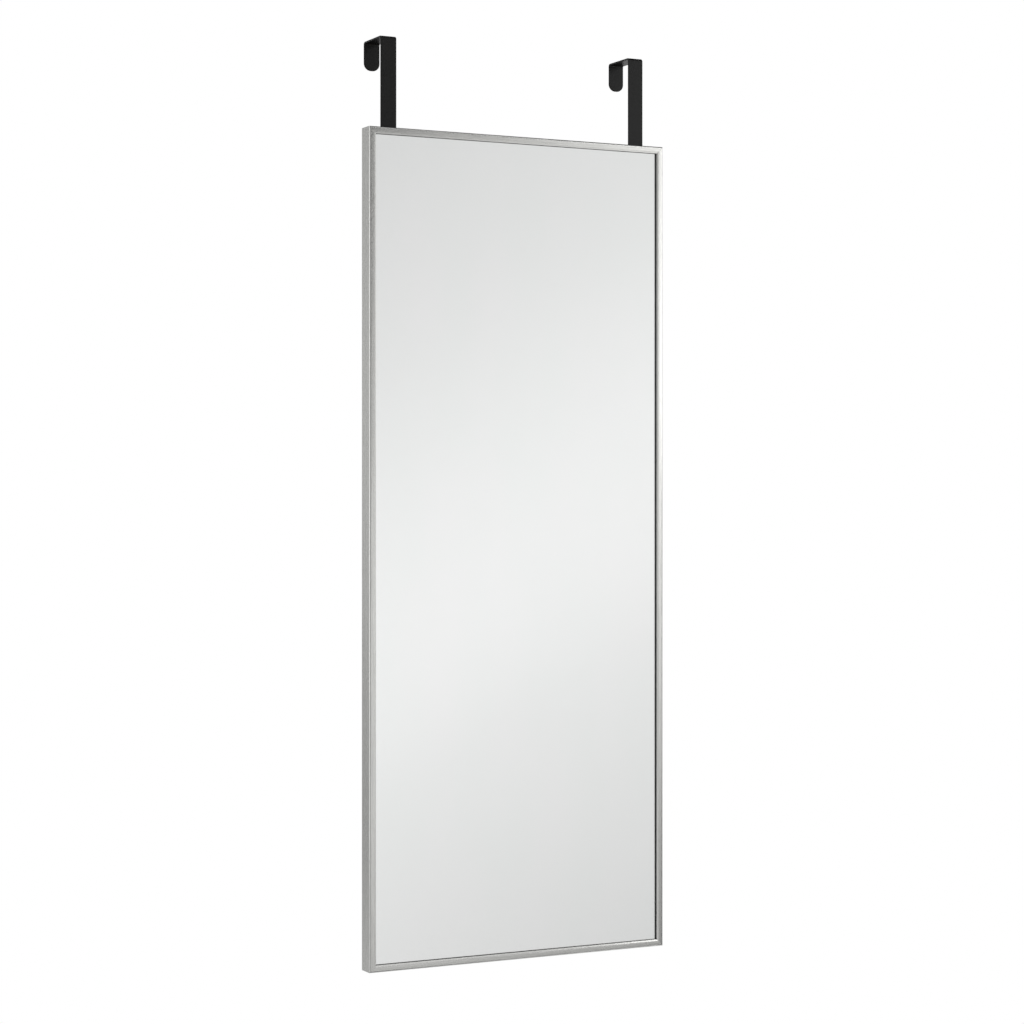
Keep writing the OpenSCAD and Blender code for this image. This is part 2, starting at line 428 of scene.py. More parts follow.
@dataclass(frozen=True)
class PowderCoat(Finish):
    """Satin black powder coat with a fine pebble, a trace lighter where its edges are rubbed."""

    tone: float = 0.002
    worn: float = 0.008
    dusty: float = 0.09
    warmth: float = 0.8
    pebbles: float = 2600.0
    pebble_depth: float = 0.05 * MM
    rough: tuple[float, float] = (0.34, 0.42)

    def paint(self, graph: NodeGraph, coords: bpy.types.NodeSocket) -> dict[str, Any]:
        """Builds the pattern.

        Args:
            graph: The material's nodes.
            coords: Object coordinates.

        Returns:
            What goes into the shader, by input name.
        """
        skin = MOTTLE.place(graph, {"Vector": coords, "Pebbles": self.pebbles})
        edge = edge_attribute(graph)
        wear = WEAR.place(graph, {"Vector": coords, "Edge": edge, "Amount": 0.35})
        dust = DUST.place(graph, {"Vector": coords, "Amount": 0.3})
        dark, light = (
            colour((level, level, self.warmth * level))
            for level in (self.tone * 0.75, self.tone * 1.3)
        )
        base = graph.mix(skin["Cloud"], dark, light)
        base = graph.mix(wear["Mask"], base, grey(self.worn))
        rough = graph.spread(skin["Pebble"], *self.rough)
        return {
            "Base Color": graph.mix(dust["Mask"], base, grey(self.dusty)),
            "Roughness": graph.plus(rough, graph.times(dust["Mask"], 0.2)),
            "Specular IOR Level": 0.33,
            "Normal": graph.bump(skin["Pebble"], self.pebble_depth, 0.3),
        }


@dataclass(frozen=True)
class ClearGlass(Finish):
    """Clear float glass with the faintest film of dust and wiping marks."""

    tint: Triple = (0.985, 0.992, 0.988)
    clearest: float = 0.995
    wiping: Triple = (14.0, 14.0, 5.0)
    haze: float = 0.012

    def paint(self, graph: NodeGraph, coords: bpy.types.NodeSocket) -> dict[str, Any]:
        """Builds the pattern.

        Args:
            graph: The material's nodes.
            coords: Object coordinates.

        Returns:
            What goes into the shader, by input name.
        """
        wiped = graph.streaks(coords, self.wiping, 5.0)
        film = graph.remap(wiped, 0.45, 0.8, 0.0, self.haze)
        tinted = graph.mix(graph.remap(wiped, 0.2, 0.8), colour(self.tint), grey(self.clearest))
        return {
            "Base Color": tinted,
            "Roughness": film,
            "Metallic": 0.0,
            "Transmission Weight": 1.0,
            "IOR": 1.52,
        }


@dataclass(frozen=True)
class Silver(Finish):
    """The silvering behind the glass, with the slight unevenness of its chemical coat."""

    dark: Triple = (0.965, 0.97, 0.965)
    light: Triple = (0.985, 0.985, 0.985)

    def paint(self, graph: NodeGraph, coords: bpy.types.NodeSocket) -> dict[str, Any]:
        """Builds the pattern.

        Args:
            graph: The material's nodes.
            coords: Object coordinates.

        Returns:
            What goes into the shader, by input name.
        """
        cloud = graph.noise(coords, 6.0, 3.0)
        return {
            "Base Color": graph.mix(cloud, colour(self.dark), colour(self.light)),
            "Metallic": 1.0,
            "Roughness": graph.remap(cloud, 0.4, 0.9, 0.0, 0.01),
        }


@dataclass(frozen=True)
class Mottled(Finish):
    """A plain cast, painted, moulded or foamed skin, told apart by its own numbers."""

    dark: Triple
    light: Triple
    pebbles: float
    depth: float
    rough: tuple[float, float]
    metallic: float = 0.0
    dust: float = 0.2
    dusty: float = 0.45

    def paint(self, graph: NodeGraph, coords: bpy.types.NodeSocket) -> dict[str, Any]:
        """Builds the pattern.

        Args:
            graph: The material's nodes.
            coords: Object coordinates.

        Returns:
            What goes into the shader, by input name.
        """
        skin = MOTTLE.place(graph, {"Vector": coords, "Pebbles": self.pebbles})
        tone = graph.blend(0.5, skin["Pebble"], skin["Cloud"])
        base = graph.mix(graph.remap(tone, 0.35, 0.65), colour(self.dark), colour(self.light))
        dust = DUST.place(graph, {"Vector": coords, "Amount": self.dust})
        return {
            "Base Color": graph.mix(dust["Mask"], base, grey(self.dusty)),
            "Metallic": self.metallic,
            "Roughness": graph.spread(skin["Pebble"], *self.rough),
            "Normal": graph.bump(skin["Pebble"], self.depth, 0.5),
        }


@dataclass(frozen=True)
class BluedSteel(Finish):
    """Tempered spring strip: blue going to straw, under the fine grain of its rolling."""

    blue: Triple = (0.2, 0.24, 0.33)
    straw: Triple = (0.42, 0.38, 0.3)
    worn: float = 0.3
    grain: Triple = (300.0, 900.0, 300.0)
    grain_depth: float = 0.01 * MM
    rough: tuple[float, float] = (0.28, 0.42)

    def paint(self, graph: NodeGraph, coords: bpy.types.NodeSocket) -> dict[str, Any]:
        """Builds the pattern.

        Args:
            graph: The material's nodes.
            coords: Object coordinates.

        Returns:
            What goes into the shader, by input name.
        """
        brushed = BRUSHING.place(graph, {"Vector": coords, "Stretch": self.grain})
        heat = graph.remap(graph.noise(coords, 55.0, 2.0), 0.35, 0.7)
        base = graph.mix(heat, colour(self.blue), colour(self.straw))
        rolled = graph.times(brushed["Streak"], 0.4)
        return {
            "Base Color": graph.mix(rolled, base, grey(self.worn)),
            "Metallic": 1.0,
            "Roughness": graph.spread(brushed["Hairline"], *self.rough),
            "Normal": graph.bump(brushed["Height"], self.grain_depth, 0.3),
        }


@dataclass(frozen=True)
class Hardboard(Finish):
    """Pressed fibre board, its rough side printed by the wire mesh of the press, with painted shade
    in the mesh's pits.
    """

    mesh_pitch: float = 1.9 * MM
    mesh_depth: float = 0.15 * MM
    dark: Triple = (0.22, 0.125, 0.065)
    light: Triple = (0.4, 0.255, 0.145)
    stain: Triple = (0.24, 0.15, 0.09)
    bark: Triple = (0.1, 0.055, 0.03)
    pit: Triple = (0.13, 0.075, 0.04)
    fibre_stretch: Triple = (900.0, 900.0, 260.0)
    fleck_stretch: Triple = (340.0, 500.0, 480.0)
    rough: tuple[float, float] = (0.72, 0.9)

    def paint(self, graph: NodeGraph, coords: bpy.types.NodeSocket) -> dict[str, Any]:
        """Builds the pattern.

        Args:
            graph: The material's nodes.
            coords: Object coordinates.

        Returns:
            What goes into the shader, by input name.
        """
        turns = graph.scaled(coords, 2.0 * math.pi / self.mesh_pitch)
        wires = [graph.math("SINE", graph.axes(turns)[name]) for name in ("X", "Z")]
        pits = graph.remap(graph.times(*wires), -1.0, 1.0)
        fibres = graph.streaks(coords, self.fibre_stretch, 5.0)
        flecks = graph.streaks(coords, self.fleck_stretch, 4.0)
        bark = graph.remap(graph.noise(coords, 260.0, 3.0), 0.6, 0.74, 0.0, 0.5)
        stain = graph.spread(graph.noise(coords, 14.0, 5.0), 0.0, 0.45)
        tone = graph.remap(graph.blend(0.5, fibres, flecks), 0.32, 0.68)
        base = graph.mix(tone, colour(self.dark), colour(self.light))
        base = graph.mix(stain, base, colour(self.stain))
        base = graph.mix(bark, base, colour(self.bark))
        # Painted shade: the mesh's pits are mixed toward a darker colour, as the shade in those
        # hollows.
        base = graph.mix(graph.times(pits, 0.25), base, colour(self.pit))
        height = graph.minus(graph.times(fibres, 0.4), pits)
        return {
            "Base Color": base,
            "Roughness": graph.spread(fibres, *self.rough),
            "Specular IOR Level": 0.25,
            "Normal": graph.bump(height, self.mesh_depth, 0.6),
        }


ALUMINIUM = {
    True: BrushedAluminium("brushed_aluminium_upright", Grain.ALONG_Z),
    False: BrushedAluminium("brushed_aluminium_level", Grain.ALONG_X),
}
BLACK_COAT = PowderCoat("satin_black_powder_coat")
GLASS = ClearGlass("clear_float_glass")
SILVERING = Silver("silvering")
MIRROR_PAINT = Mottled(
    "grey_mirror_paint",
    dark=(0.16, 0.17, 0.18),
    light=(0.24, 0.25, 0.26),
    pebbles=900.0,
    depth=0.02 * MM,
    rough=(0.4, 0.55),
)
DIE_CAST = Mottled(
    "die_cast_zinc",
    dark=(0.3, 0.31, 0.33),
    light=(0.5, 0.51, 0.53),
    pebbles=1300.0,
    depth=0.04 * MM,
    rough=(0.38, 0.55),
    metallic=1.0,
)
BLACK_OXIDE = Mottled(
    "black_oxide_steel",
    dark=(0.05, 0.05, 0.055),
    light=(0.12, 0.115, 0.11),
    pebbles=1800.0,
    depth=0.01 * MM,
    rough=(0.3, 0.45),
    metallic=1.0,
)
SEAL_RUBBER = Mottled(
    "black_seal_rubber",
    dark=(0.05, 0.05, 0.05),
    light=(0.085, 0.085, 0.083),
    pebbles=2400.0,
    depth=0.02 * MM,
    rough=(0.5, 0.65),
)
PAD_RUBBER = Mottled(
    "moulded_pad_rubber",
    dark=(0.025, 0.025, 0.027),
    light=(0.055, 0.055, 0.057),
    pebbles=1500.0,
    depth=0.05 * MM,
    rough=(0.6, 0.8),
)
SAFETY_FILM = Mottled(
    "safety_film",
    dark=(0.22, 0.24, 0.27),
    light=(0.33, 0.35, 0.38),
    pebbles=500.0,
    depth=0.05 * MM,
    rough=(0.45, 0.6),
)
CELL_FOAM = Mottled(
    "closed_cell_foam",
    dark=(0.72, 0.73, 0.74),
    light=(0.9, 0.91, 0.92),
    pebbles=1100.0,
    depth=0.1 * MM,
    rough=(0.75, 0.9),
)
SPRING_STEEL = BluedSteel("blued_spring_steel")
BOARD = Hardboard("meshed_hardboard")


# ---- making pieces ----


def mesh_piece(
    name: str,
    points: Sequence[Sequence[float]],
    faces: Sequence[Sequence[int]],
    edges: Sequence[tuple[int, int]] = (),
) -> bpy.types.Object:
    """Makes a piece from points and faces, and puts it in the scene.

    Args:
        name: The piece's name.
        points: Places in the part's own frame.
        faces: Point numbers, counter-clockwise as seen from outside.
        edges: Point numbers of edges that no face has.

    Returns:
        The new object, at the origin.
    """
    mesh = bpy.data.meshes.new(name)
    mesh.from_pydata([tuple(p) for p in points], list(edges), [tuple(f) for f in faces])
    mesh.update()
    piece = bpy.data.objects.new(name, mesh)
    bpy.context.scene.collection.objects.link(piece)
    return piece


def moved(points: Iterable[Triple], x: float, y: float, z: float) -> list[Triple]:
    """Returns points carried along by X, Y and Z."""
    return [(px + x, py + y, pz + z) for px, py, pz in points]


def arc(steps: int, total: float) -> list[tuple[float, float]]:
    """Returns the cosine and sine of equal turns from 0 to total, in degrees, both ends too."""
    angles = [math.radians(total * step / steps) for step in range(steps + 1)]
    return [(math.cos(angle), math.sin(angle)) for angle in angles]


def dress(piece: bpy.types.Object, *finishes: Finish) -> None:
    """Gives a piece its materials.

    Args:
        piece: The piece.
        *finishes: Its finishes, in the order of its faces' material numbers.
    """
    piece.data.materials.clear()
    for finish in finishes:
        piece.data.materials.append(finish.material())


def store_points(piece: bpy.types.Object, name: str, values: Iterable[float]) -> None:
    """Stores one number for each point of a piece's mesh."""
    piece.data.attributes.new(name, "FLOAT", "POINT").data.foreach_set("value", list(values))


def crease(piece: bpy.types.Object, angle: float) -> None:
    """Shades a piece smooth, but for edges sharper than angle, in degrees."""
    piece.data.shade_smooth()
    piece.data.set_sharp_from_angle(angle=math.radians(angle))


def soften(piece: bpy.types.Object, width: float, steps: int = 2, angle: float = 35.0) -> None:
    """Gives a piece rounded edges, and shading that keeps its faces flat.

    Args:
        piece: The piece, whose modifiers stay live.
        width: Width of the rounding, or 0 for none.
        steps: Faces across the rounding.
        angle: Turn in degrees from which an edge is rounded.
    """
    if width > 0.0:
        bevel = piece.modifiers.new("rounding", "BEVEL")
        bevel.width = width
        bevel.segments = steps
        bevel.limit_method = "ANGLE"
        bevel.angle_limit = math.radians(angle)
        bevel.use_clamp_overlap = True
    piece.data.shade_smooth()
    piece.modifiers.new("flat_faces", "WEIGHTED_NORMAL").weight = 60


def settle(piece: bpy.types.Object) -> bpy.types.Object:
    """Turns a piece with live modifiers into a plain mesh.

    Args:
        piece: The piece.

    Returns:
        The same piece.
    """
    graph = bpy.context.evaluated_depsgraph_get()
    mesh = bpy.data.meshes.new_from_object(
        piece.evaluated_get(graph), preserve_all_data_layers=True, depsgraph=graph
    )
    mesh.name = piece.name
    piece.modifiers.clear()
    piece.data = mesh
    return piece


def hand_over(piece: bpy.types.Object, slot: str, *nodes: str) -> None:
    """Puts a finished piece on the part's body.

    Args:
        piece: The piece, already a plain mesh in its place.
        slot: A material slot's name; not used.
        *nodes: The frame's nodes that it stands for.
    """
    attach(piece, BODY)
    if nodes:
        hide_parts(*nodes)
    stands_for = ", ".join(nodes) or "nothing"
    LOG.info("%s: %d faces, stands for %s", piece.name, len(piece.data.polygons), stands_for)


@dataclass(frozen=True)
class Corner:
    """One corner of a section, before it is rounded."""

    across: float
    back: float
    radius: float


def rounded_section(corners: Sequence[Corner], step_deg: float = 22.5) -> list[Triple]:
    """Rounds the corners of a closed section.

    Args:
        corners: The corners, counter-clockwise.
        step_deg: The most that one step of a rounding turns.

    Returns:
        Points as (across, back, edge), where edge rises to 1 along the crest of an outward
        rounding and is 0 elsewhere.
    """
    made: list[Triple] = []
    count = len(corners)
    for number, corner in enumerate(corners):
        here = Vector((corner.across, corner.back))
        before, after = corners[number - 1], corners[(number + 1) % count]
        arriving = (here - Vector((before.across, before.back))).normalized()
        leaving = (Vector((after.across, after.back)) - here).normalized()
        turn = math.atan2(arriving.cross(leaving), arriving.dot(leaving))
        reach = corner.radius * math.tan(abs(turn) / 2.0)
        start = here - arriving * reach
        side = Vector((-arriving.y, arriving.x)) * math.copysign(1.0, turn)
        centre = start + side * corner.radius
        steps = max(1, math.ceil(abs(math.degrees(turn)) / step_deg - TINY))
        spoke = start - centre
        for step in range(steps + 1):
            angle = turn * step / steps
            turned = Vector((
                spoke.x * math.cos(angle) - spoke.y * math.sin(angle),
                spoke.x * math.sin(angle) + spoke.y * math.cos(angle),
            ))
            crest = math.sin(math.pi * step / steps) if turn > 0.0 else 0.0
            made.append((*(centre + turned), crest))
    return made


def section_piece(name: str, section: Sequence[Triple]) -> bpy.types.Object:
    """Makes a closed outline that a recipe draws out to a bar.

    Args:
        name: The piece's name.
        section: Points as rounded_section gives them.

    Returns:
        The outline, whose points carry "across", "back", "edge" and how far "round" they lie.
    """
    count = len(section)
    ring = [(number, (number + 1) % count) for number in range(count)]
    piece = mesh_piece(name, [(across, back, 0.0) for across, back, _ in section], [], ring)
    travelled = [0.0]
    for here, after in zip(section, section[1:]):
        travelled.append(travelled[-1] + math.dist(here[:2], after[:2]))
    for label, values in zip(("across", "back", "edge"), zip(*section)):
        store_points(piece, label, values)
    store_points(piece, "round", travelled)
    return piece


def lathe(profile: Sequence[tuple[float, float]], segments: int) -> tuple[list[Triple], list[Face]]:
    """Turns a profile round the Y axis into a closed skin.

    Args:
        profile: (radius, height along Y), from the lower pole to the upper one. The first and
            last radius are 0.
        segments: Steps round the axis.

    Returns:
        Points, and faces that point outwards.
    """
    rings = profile[1:-1]
    points: list[Triple] = [(0.0, profile[0][1], 0.0)]
    for radius, height in rings:
        points += [(radius * cos, height, radius * sin) for cos, sin in arc(segments, 360.0)[:-1]]
    points.append((0.0, profile[-1][1], 0.0))
    top = len(points) - 1
    faces: list[Face] = []
    for step in range(segments):
        after = (step + 1) % segments
        faces.append((0, 1 + step, 1 + after))
        for ring in range(len(rings) - 1):
            low, high = 1 + ring * segments, 1 + (ring + 1) * segments
            faces.append((low + step, high + step, high + after, low + after))
        last = 1 + (len(rings) - 1) * segments
        faces.append((last + step, top, last + after))
    return points, faces


# ---- geometry node trees ----


class NodeRecipe:
    """A Geometry Nodes tree with named inputs, built in the script."""

    def __init__(self, name: str, inputs: Sequence[tuple[str, str]]) -> None:
        """Makes an empty tree with a geometry and a finish as inputs, and a geometry out.

        Args:
            name: The tree's name.
            inputs: Further inputs, each as its name and socket type.
        """
        tree = bpy.data.node_groups.new(name, "GeometryNodeTree")
        shape, finish = ("Geometry", "NodeSocketGeometry"), ("Finish", "NodeSocketMaterial")
        for label, kind in (shape, *inputs, finish):
            tree.interface.new_socket(label, in_out="INPUT", socket_type=kind)
        tree.interface.new_socket("Geometry", in_out="OUTPUT", socket_type="NodeSocketGeometry")
        self.tree = tree
        self.graph = NodeGraph(tree)
        self.given = {s.name: s for s in self.graph.add("NodeGroupInput").outputs if s.name}

    def named(self, name: str) -> bpy.types.NodeSocket:
        """Returns a number that the geometry carries under this name."""
        kind = "GeometryNodeInputNamedAttribute"
        return self.graph.add(kind, {"Name": name}, data_type="FLOAT").outputs["Attribute"]

    def close(self, geometry: bpy.types.NodeSocket) -> None:
        """Ends the tree: instances made real, then the finish set.

        Args:
            geometry: What the tree has built.
        """
        real = self.graph.add("GeometryNodeRealizeInstances", {0: geometry}).outputs[0]
        dressed = self.graph.add(
            "GeometryNodeSetMaterial", {"Geometry": real, "Material": self.given["Finish"]}
        ).outputs[0]
        self.graph.add("NodeGroupOutput", {0: dressed})

    def sweep(self) -> tuple[bpy.types.NodeSocket, bpy.types.NodeSocket, bpy.types.NodeSocket]:
        """Draws the outline that comes in along X, over Length and in Steps where it has them.

        Returns:
            The capped bar, half its length, and each point's place along it.
        """
        graph, given = self.graph, self.given
        half = graph.times(given["Length"], 0.5)
        low, high = (graph.point(graph.times(half, sign)) for sign in (-1.0, 1.0))
        path = graph.add("GeometryNodeCurvePrimitiveLine", {"Start": low, "End": high})
        if "Steps" in given:
            counted = {"Curve": path.outputs[0], "Count": given["Steps"]}
            path = graph.add("GeometryNodeResampleCurve", counted)
        outline = graph.add("GeometryNodeMeshToCurve", {0: given["Geometry"]})
        drawn = {"Curve": path.outputs[0], "Profile Curve": outline.outputs[0], "Fill Caps": True}
        bar = graph.add("GeometryNodeCurveToMesh", drawn).outputs[0]
        along = graph.axes(graph.add("GeometryNodeInputPosition").outputs[0])["X"]
        return bar, half, along

    def apply_to(self, piece: bpy.types.Object, values: dict[str, Any]) -> None:
        """Puts the tree on a piece, and sets its inputs by their identifiers.

        Args:
            piece: The piece.
            values: The inputs' values by name.
        """
        modifier = piece.modifiers.new(self.tree.name, "NODES")
        modifier.node_group = self.tree
        for item in self.tree.interface.items_tree:
            if item.in_out == "INPUT" and item.name in values:
                modifier[item.identifier] = values[item.name]


def slot_blocks(recipe: NodeRecipe) -> bpy.types.NodeSocket:
    """Places the two blocks that cut the hooks' slots in a bar.

    Args:
        recipe: The bar's tree, which has the slots' sizes and places as inputs.

    Returns:
        Both blocks.
    """
    graph, given = recipe.graph, recipe.given
    size = graph.point(given["Slot Width"], given["Slot Depth"], given["Slot Height"])
    block = graph.add("GeometryNodeMeshCube", {"Size": size}).outputs[0]
    both = graph.add("GeometryNodeJoinGeometry")
    for sign in (-1.0, 1.0):
        to_side = graph.times(given["Slot Place"], sign)
        spot = graph.point(to_side, given["Slot Back"], given["Reach"])
        placed = graph.add("GeometryNodeTransform", {"Geometry": block, "Translation": spot})
        graph.tree.links.new(placed.outputs[0], both.inputs[0])
    return both.outputs[0]


def mitred_bar_recipe() -> NodeRecipe:
    """Makes the tree that runs an outline along one side of the frame.

    The outline's points carry how far they lie in from the outer face ("across"), how far
    back from the front ("back") and how far round the section ("round").

    Returns:
        The recipe. Its ends are cut at 45 degrees, and Slots opens two slots in the outer wall.
    """
    lengths = (
        "Length", "Reach", "Turn", "Front", "Centre",
        "Slot Width", "Slot Depth", "Slot Height", "Slot Place", "Slot Back",
    )
    recipe = NodeRecipe(
        "mitred_bar", (*((label, NUMBER) for label in lengths), ("Slots", "NodeSocketBool"))
    )
    graph, given = recipe.graph, recipe.given
    bar, half, along = recipe.sweep()
    across = recipe.named("across")
    mitred = graph.times(graph.math("SIGN", along), graph.minus(half, across))
    place = graph.point(mitred, recipe.named("back"), graph.minus(given["Reach"], across))
    bar = graph.add("GeometryNodeSetPosition", {"Geometry": bar, "Position": place}).outputs[0]
    unrolled = {
        "Geometry": bar, "Name": "UVMap", "Value": graph.point(mitred, recipe.named("round"))
    }
    kinds = {"data_type": "FLOAT2", "domain": "CORNER"}
    bar = graph.add("GeometryNodeStoreNamedAttribute", unrolled, **kinds).outputs[0]
    cut = {0: bar, 1: slot_blocks(recipe)}
    slotted = graph.add("GeometryNodeMeshBoolean", cut, operation="DIFFERENCE", solver="EXACT")
    choice = {"Switch": given["Slots"], "False": bar, "True": slotted.outputs[0]}
    bar = graph.add("GeometryNodeSwitch", choice, input_type="GEOMETRY").outputs[0]
    stand = {
        "Geometry": bar,
        "Rotation": graph.point(y=given["Turn"]),
        "Translation": graph.point(y=given["Front"], z=given["Centre"]),
    }
    recipe.close(graph.add("GeometryNodeTransform", stand).outputs[0])
    return recipe


def scattered_recipe() -> NodeRecipe:
    """Makes the tree that sets a copy of the piece's mesh on each point of Places.

    Returns:
        The recipe. Each copy turns about Y by its point's "turn", and by up to Spin at random.
    """
    recipe = NodeRecipe(
        "set_in_places",
        (("Places", "NodeSocketObject"), ("Spin", NUMBER), ("Seed", "NodeSocketInt")),
    )
    graph, given = recipe.graph, recipe.given
    places = graph.add("GeometryNodeObjectInfo", {"Object": given["Places"]}).outputs["Geometry"]
    range_of_turns = {3: given["Spin"], "Seed": given["Seed"]}
    chance = graph.add("FunctionNodeRandomValue", range_of_turns, data_type="FLOAT").outputs[1]
    turn = graph.plus(recipe.named("turn"), chance)
    copies = graph.add(
        "GeometryNodeInstanceOnPoints",
        {"Points": places, "Instance": given["Geometry"], "Rotation": graph.point(y=turn)},
    )
    recipe.close(copies.outputs[0])
    return recipe


def bowed_strip_recipe() -> NodeRecipe:
    """Makes the tree that draws a rectangular outline along X and bows it.

    Returns:
        The recipe. The strip's middle stands Rise further along Y than its ends.
    """
    recipe = NodeRecipe(
        "bowed_strip", (("Length", NUMBER), ("Rise", NUMBER), ("Steps", "NodeSocketInt"))
    )
    graph, given = recipe.graph, recipe.given
    strip, half, along = recipe.sweep()
    share = graph.math("DIVIDE", along, half)
    fall = graph.times(graph.times(share, share), given["Rise"])
    back = graph.minus(recipe.named("back"), fall)
    place = graph.point(along, back, graph.times(recipe.named("across"), -1.0))
    bowed = graph.add("GeometryNodeSetPosition", {"Geometry": strip, "Position": place})
    recipe.close(bowed.outputs[0])
    return recipe


@dataclass(frozen=True)
class Places:
    """Where copies of one small piece stand in the part."""

    recipe: NodeRecipe
    spots: list[Triple]
    turns: list[float]
    spin: float = 0.0
    seed: int = 1

    def fill_with(self, piece: bpy.types.Object, finish: Finish, sharp: float) -> None:
        """Sets copies of a piece in the places, as one plain mesh.

        Args:
            piece: The piece, which becomes all its copies.
            finish: Their finish.
            sharp: Turn in degrees from which their edges are shaded sharp.
        """
        places = mesh_piece("places", self.spots, [])
        store_points(places, "turn", self.turns)
        values = {"Places": places, "Spin": self.spin, "Seed": self.seed}
        self.recipe.apply_to(piece, {**values, "Finish": finish.material()})
        settle(piece)
        bpy.data.objects.remove(places)
        crease(piece, sharp)


# ---- the mirror's sub-assemblies ----


class Side(Enum):
    """Sides of the frame, by the turn about Y that carries the top side there, in degrees."""

    TOP = 0
    RIGHT = 90
    BOTTOM = 180
    LEFT = 270

    @property
    def upright(self) -> bool:
        """Whether the side runs up and down."""
        return self in (Side.LEFT, Side.RIGHT)

    @property
    def label(self) -> str:
        """The side's name in lower case."""
        return self.name.lower()


@dataclass(frozen=True)
class FrameSizes:
    """Sizes that the sub-assemblies share. Depths run back from the frame's front face."""

    width: float = 400 * MM
    height: float = 1000 * MM
    depth: float = 23.5 * MM
    face: float = 6.7 * MM
    bevel_width: float = 1.8 * MM
    bevel_depth: float = 1.1 * MM
    lip: float = 1.6 * MM
    wall: float = 1.4 * MM
    rib: float = 1.5 * MM
    channel: float = 14 * MM
    returns: float = 3 * MM
    outer_radius: float = 1.8 * MM
    inset: float = 2 * MM
    gasket: float = 0.6 * MM
    glass: float = 3 * MM
    rib_front: float = 13.5 * MM
    front: float = -25 * MM
    centre: float = -609 * MM

    @property
    def lip_width(self) -> float:
        """Width of the front lip from the frame's outer face."""
        return self.face + self.bevel_width

    @property
    def channel_floor(self) -> float:
        """Depth of the rear channel's floor."""
        return self.rib_front + self.rib

    def run(self, side: Side) -> float:
        """Length of a side over its mitres."""
        return self.height if side.upright else self.width

    def reach(self, side: Side) -> float:
        """Distance from the frame's middle to a side's outer face."""
        return (self.width if side.upright else self.height) / 2.0


@dataclass
class SectionBar:
    """A section that runs round the frame, mitred at each corner."""

    sizes: FrameSizes
    recipe: NodeRecipe

    def make(
        self, name: str, side: Side, corners: Sequence[Corner], finish: Finish, more: dict[str, Any]
    ) -> bpy.types.Object:
        """Runs a section along one side.

        Args:
            name: The piece's name.
            side: The side of the frame.
            corners: The section, counter-clockwise in (across, back).
            finish: The bar's finish.
            more: Further inputs of the tree.

        Returns:
            The piece, with the tree still live.
        """
        piece = section_piece(name, rounded_section(corners))
        values = {
            "Length": self.sizes.run(side),
            "Reach": self.sizes.reach(side),
            "Turn": math.radians(side.value),
            "Front": self.sizes.front,
            "Centre": self.sizes.centre,
            "Finish": finish.material(),
        }
        self.recipe.apply_to(piece, {**values, **more})
        return piece


@dataclass
class MirrorFrame(SectionBar):
    """Four extruded rails, mitred at the corners. The top one is slotted for the hooks."""

    hook_place: float = 169 * MM
    slot_width: float = 20.9 * MM
    slot_back: float = 16.05 * MM
    slot_depth: float = 2.1 * MM
    corner_radius: float = 0.2 * MM
    inner_radius: float = 0.12 * MM
    heel_radius: float = 0.3 * MM
    mitre_break: float = 0.1 * MM

    def section(self) -> list[Corner]:
        """Section of the extrusion.

        Returns:
            Its corners, counter-clockwise in (across, back).
        """
        s = self.sizes
        outer_return, inner_return = s.wall + s.returns, s.channel - s.wall - s.returns
        return_front = s.depth - s.wall
        small, fine = self.corner_radius, self.inner_radius
        return [
            Corner(0.0, 0.0, s.outer_radius),
            Corner(s.face, 0.0, small),
            Corner(s.lip_width, s.bevel_depth, small),
            Corner(s.lip_width, s.lip, fine),
            Corner(s.wall, s.lip, small),
            Corner(s.wall, s.rib_front, small),
            Corner(s.channel, s.rib_front, small),
            Corner(s.channel, s.depth, small),
            Corner(inner_return, s.depth, small),
            Corner(inner_return, return_front, fine),
            Corner(s.channel - s.wall, return_front, fine),
            Corner(s.channel - s.wall, s.channel_floor, fine),
            Corner(s.wall, s.channel_floor, fine),
            Corner(s.wall, return_front, fine),
            Corner(outer_return, return_front, fine),
            Corner(outer_return, s.depth, small),
            Corner(0.0, s.depth, self.heel_radius),
        ]

    def build(self) -> None:
        """Builds and hands over the four rails."""
        for side in Side:
            slots = {
                "Slots": side is Side.TOP,
                "Slot Width": self.slot_width,
                "Slot Depth": self.slot_depth,
                "Slot Height": 2.0 * self.sizes.wall,
                "Slot Place": self.hook_place,
                "Slot Back": self.slot_back,
            }
            name = f"frame_rail_{side.label}"
            rail = self.make(name, side, self.section(), ALUMINIUM[side.upright], slots)
            soften(rail, self.mitre_break, 1, 40.0)
            hand_over(settle(rail), "frame_aluminium", f"rail_{side.label}")


@dataclass
class Gaskets(SectionBar):
    """Rubber strips between the front lip and the glass, with a rounded nose."""

    nose: float = 0.25 * MM
    heel: float = 0.1 * MM
    set_back: float = 0.05 * MM

    def build(self) -> None:
        """Builds and hands over the four strips."""
        s = self.sizes
        tip = s.lip_width - self.set_back
        corners = [
            Corner(s.inset, s.lip, self.heel),
            Corner(tip, s.lip, self.nose),
            Corner(tip, s.lip + s.gasket, self.nose),
            Corner(s.inset, s.lip + s.gasket, self.heel),
        ]
        for side in Side:
            name = f"glazing_gasket_{side.label}"
            strip = self.make(name, side, corners, SEAL_RUBBER, {"Slots": False})
            soften(strip, 0.0)
            hand_over(settle(strip), "gasket_rubber", f"gasket_{side.label}")


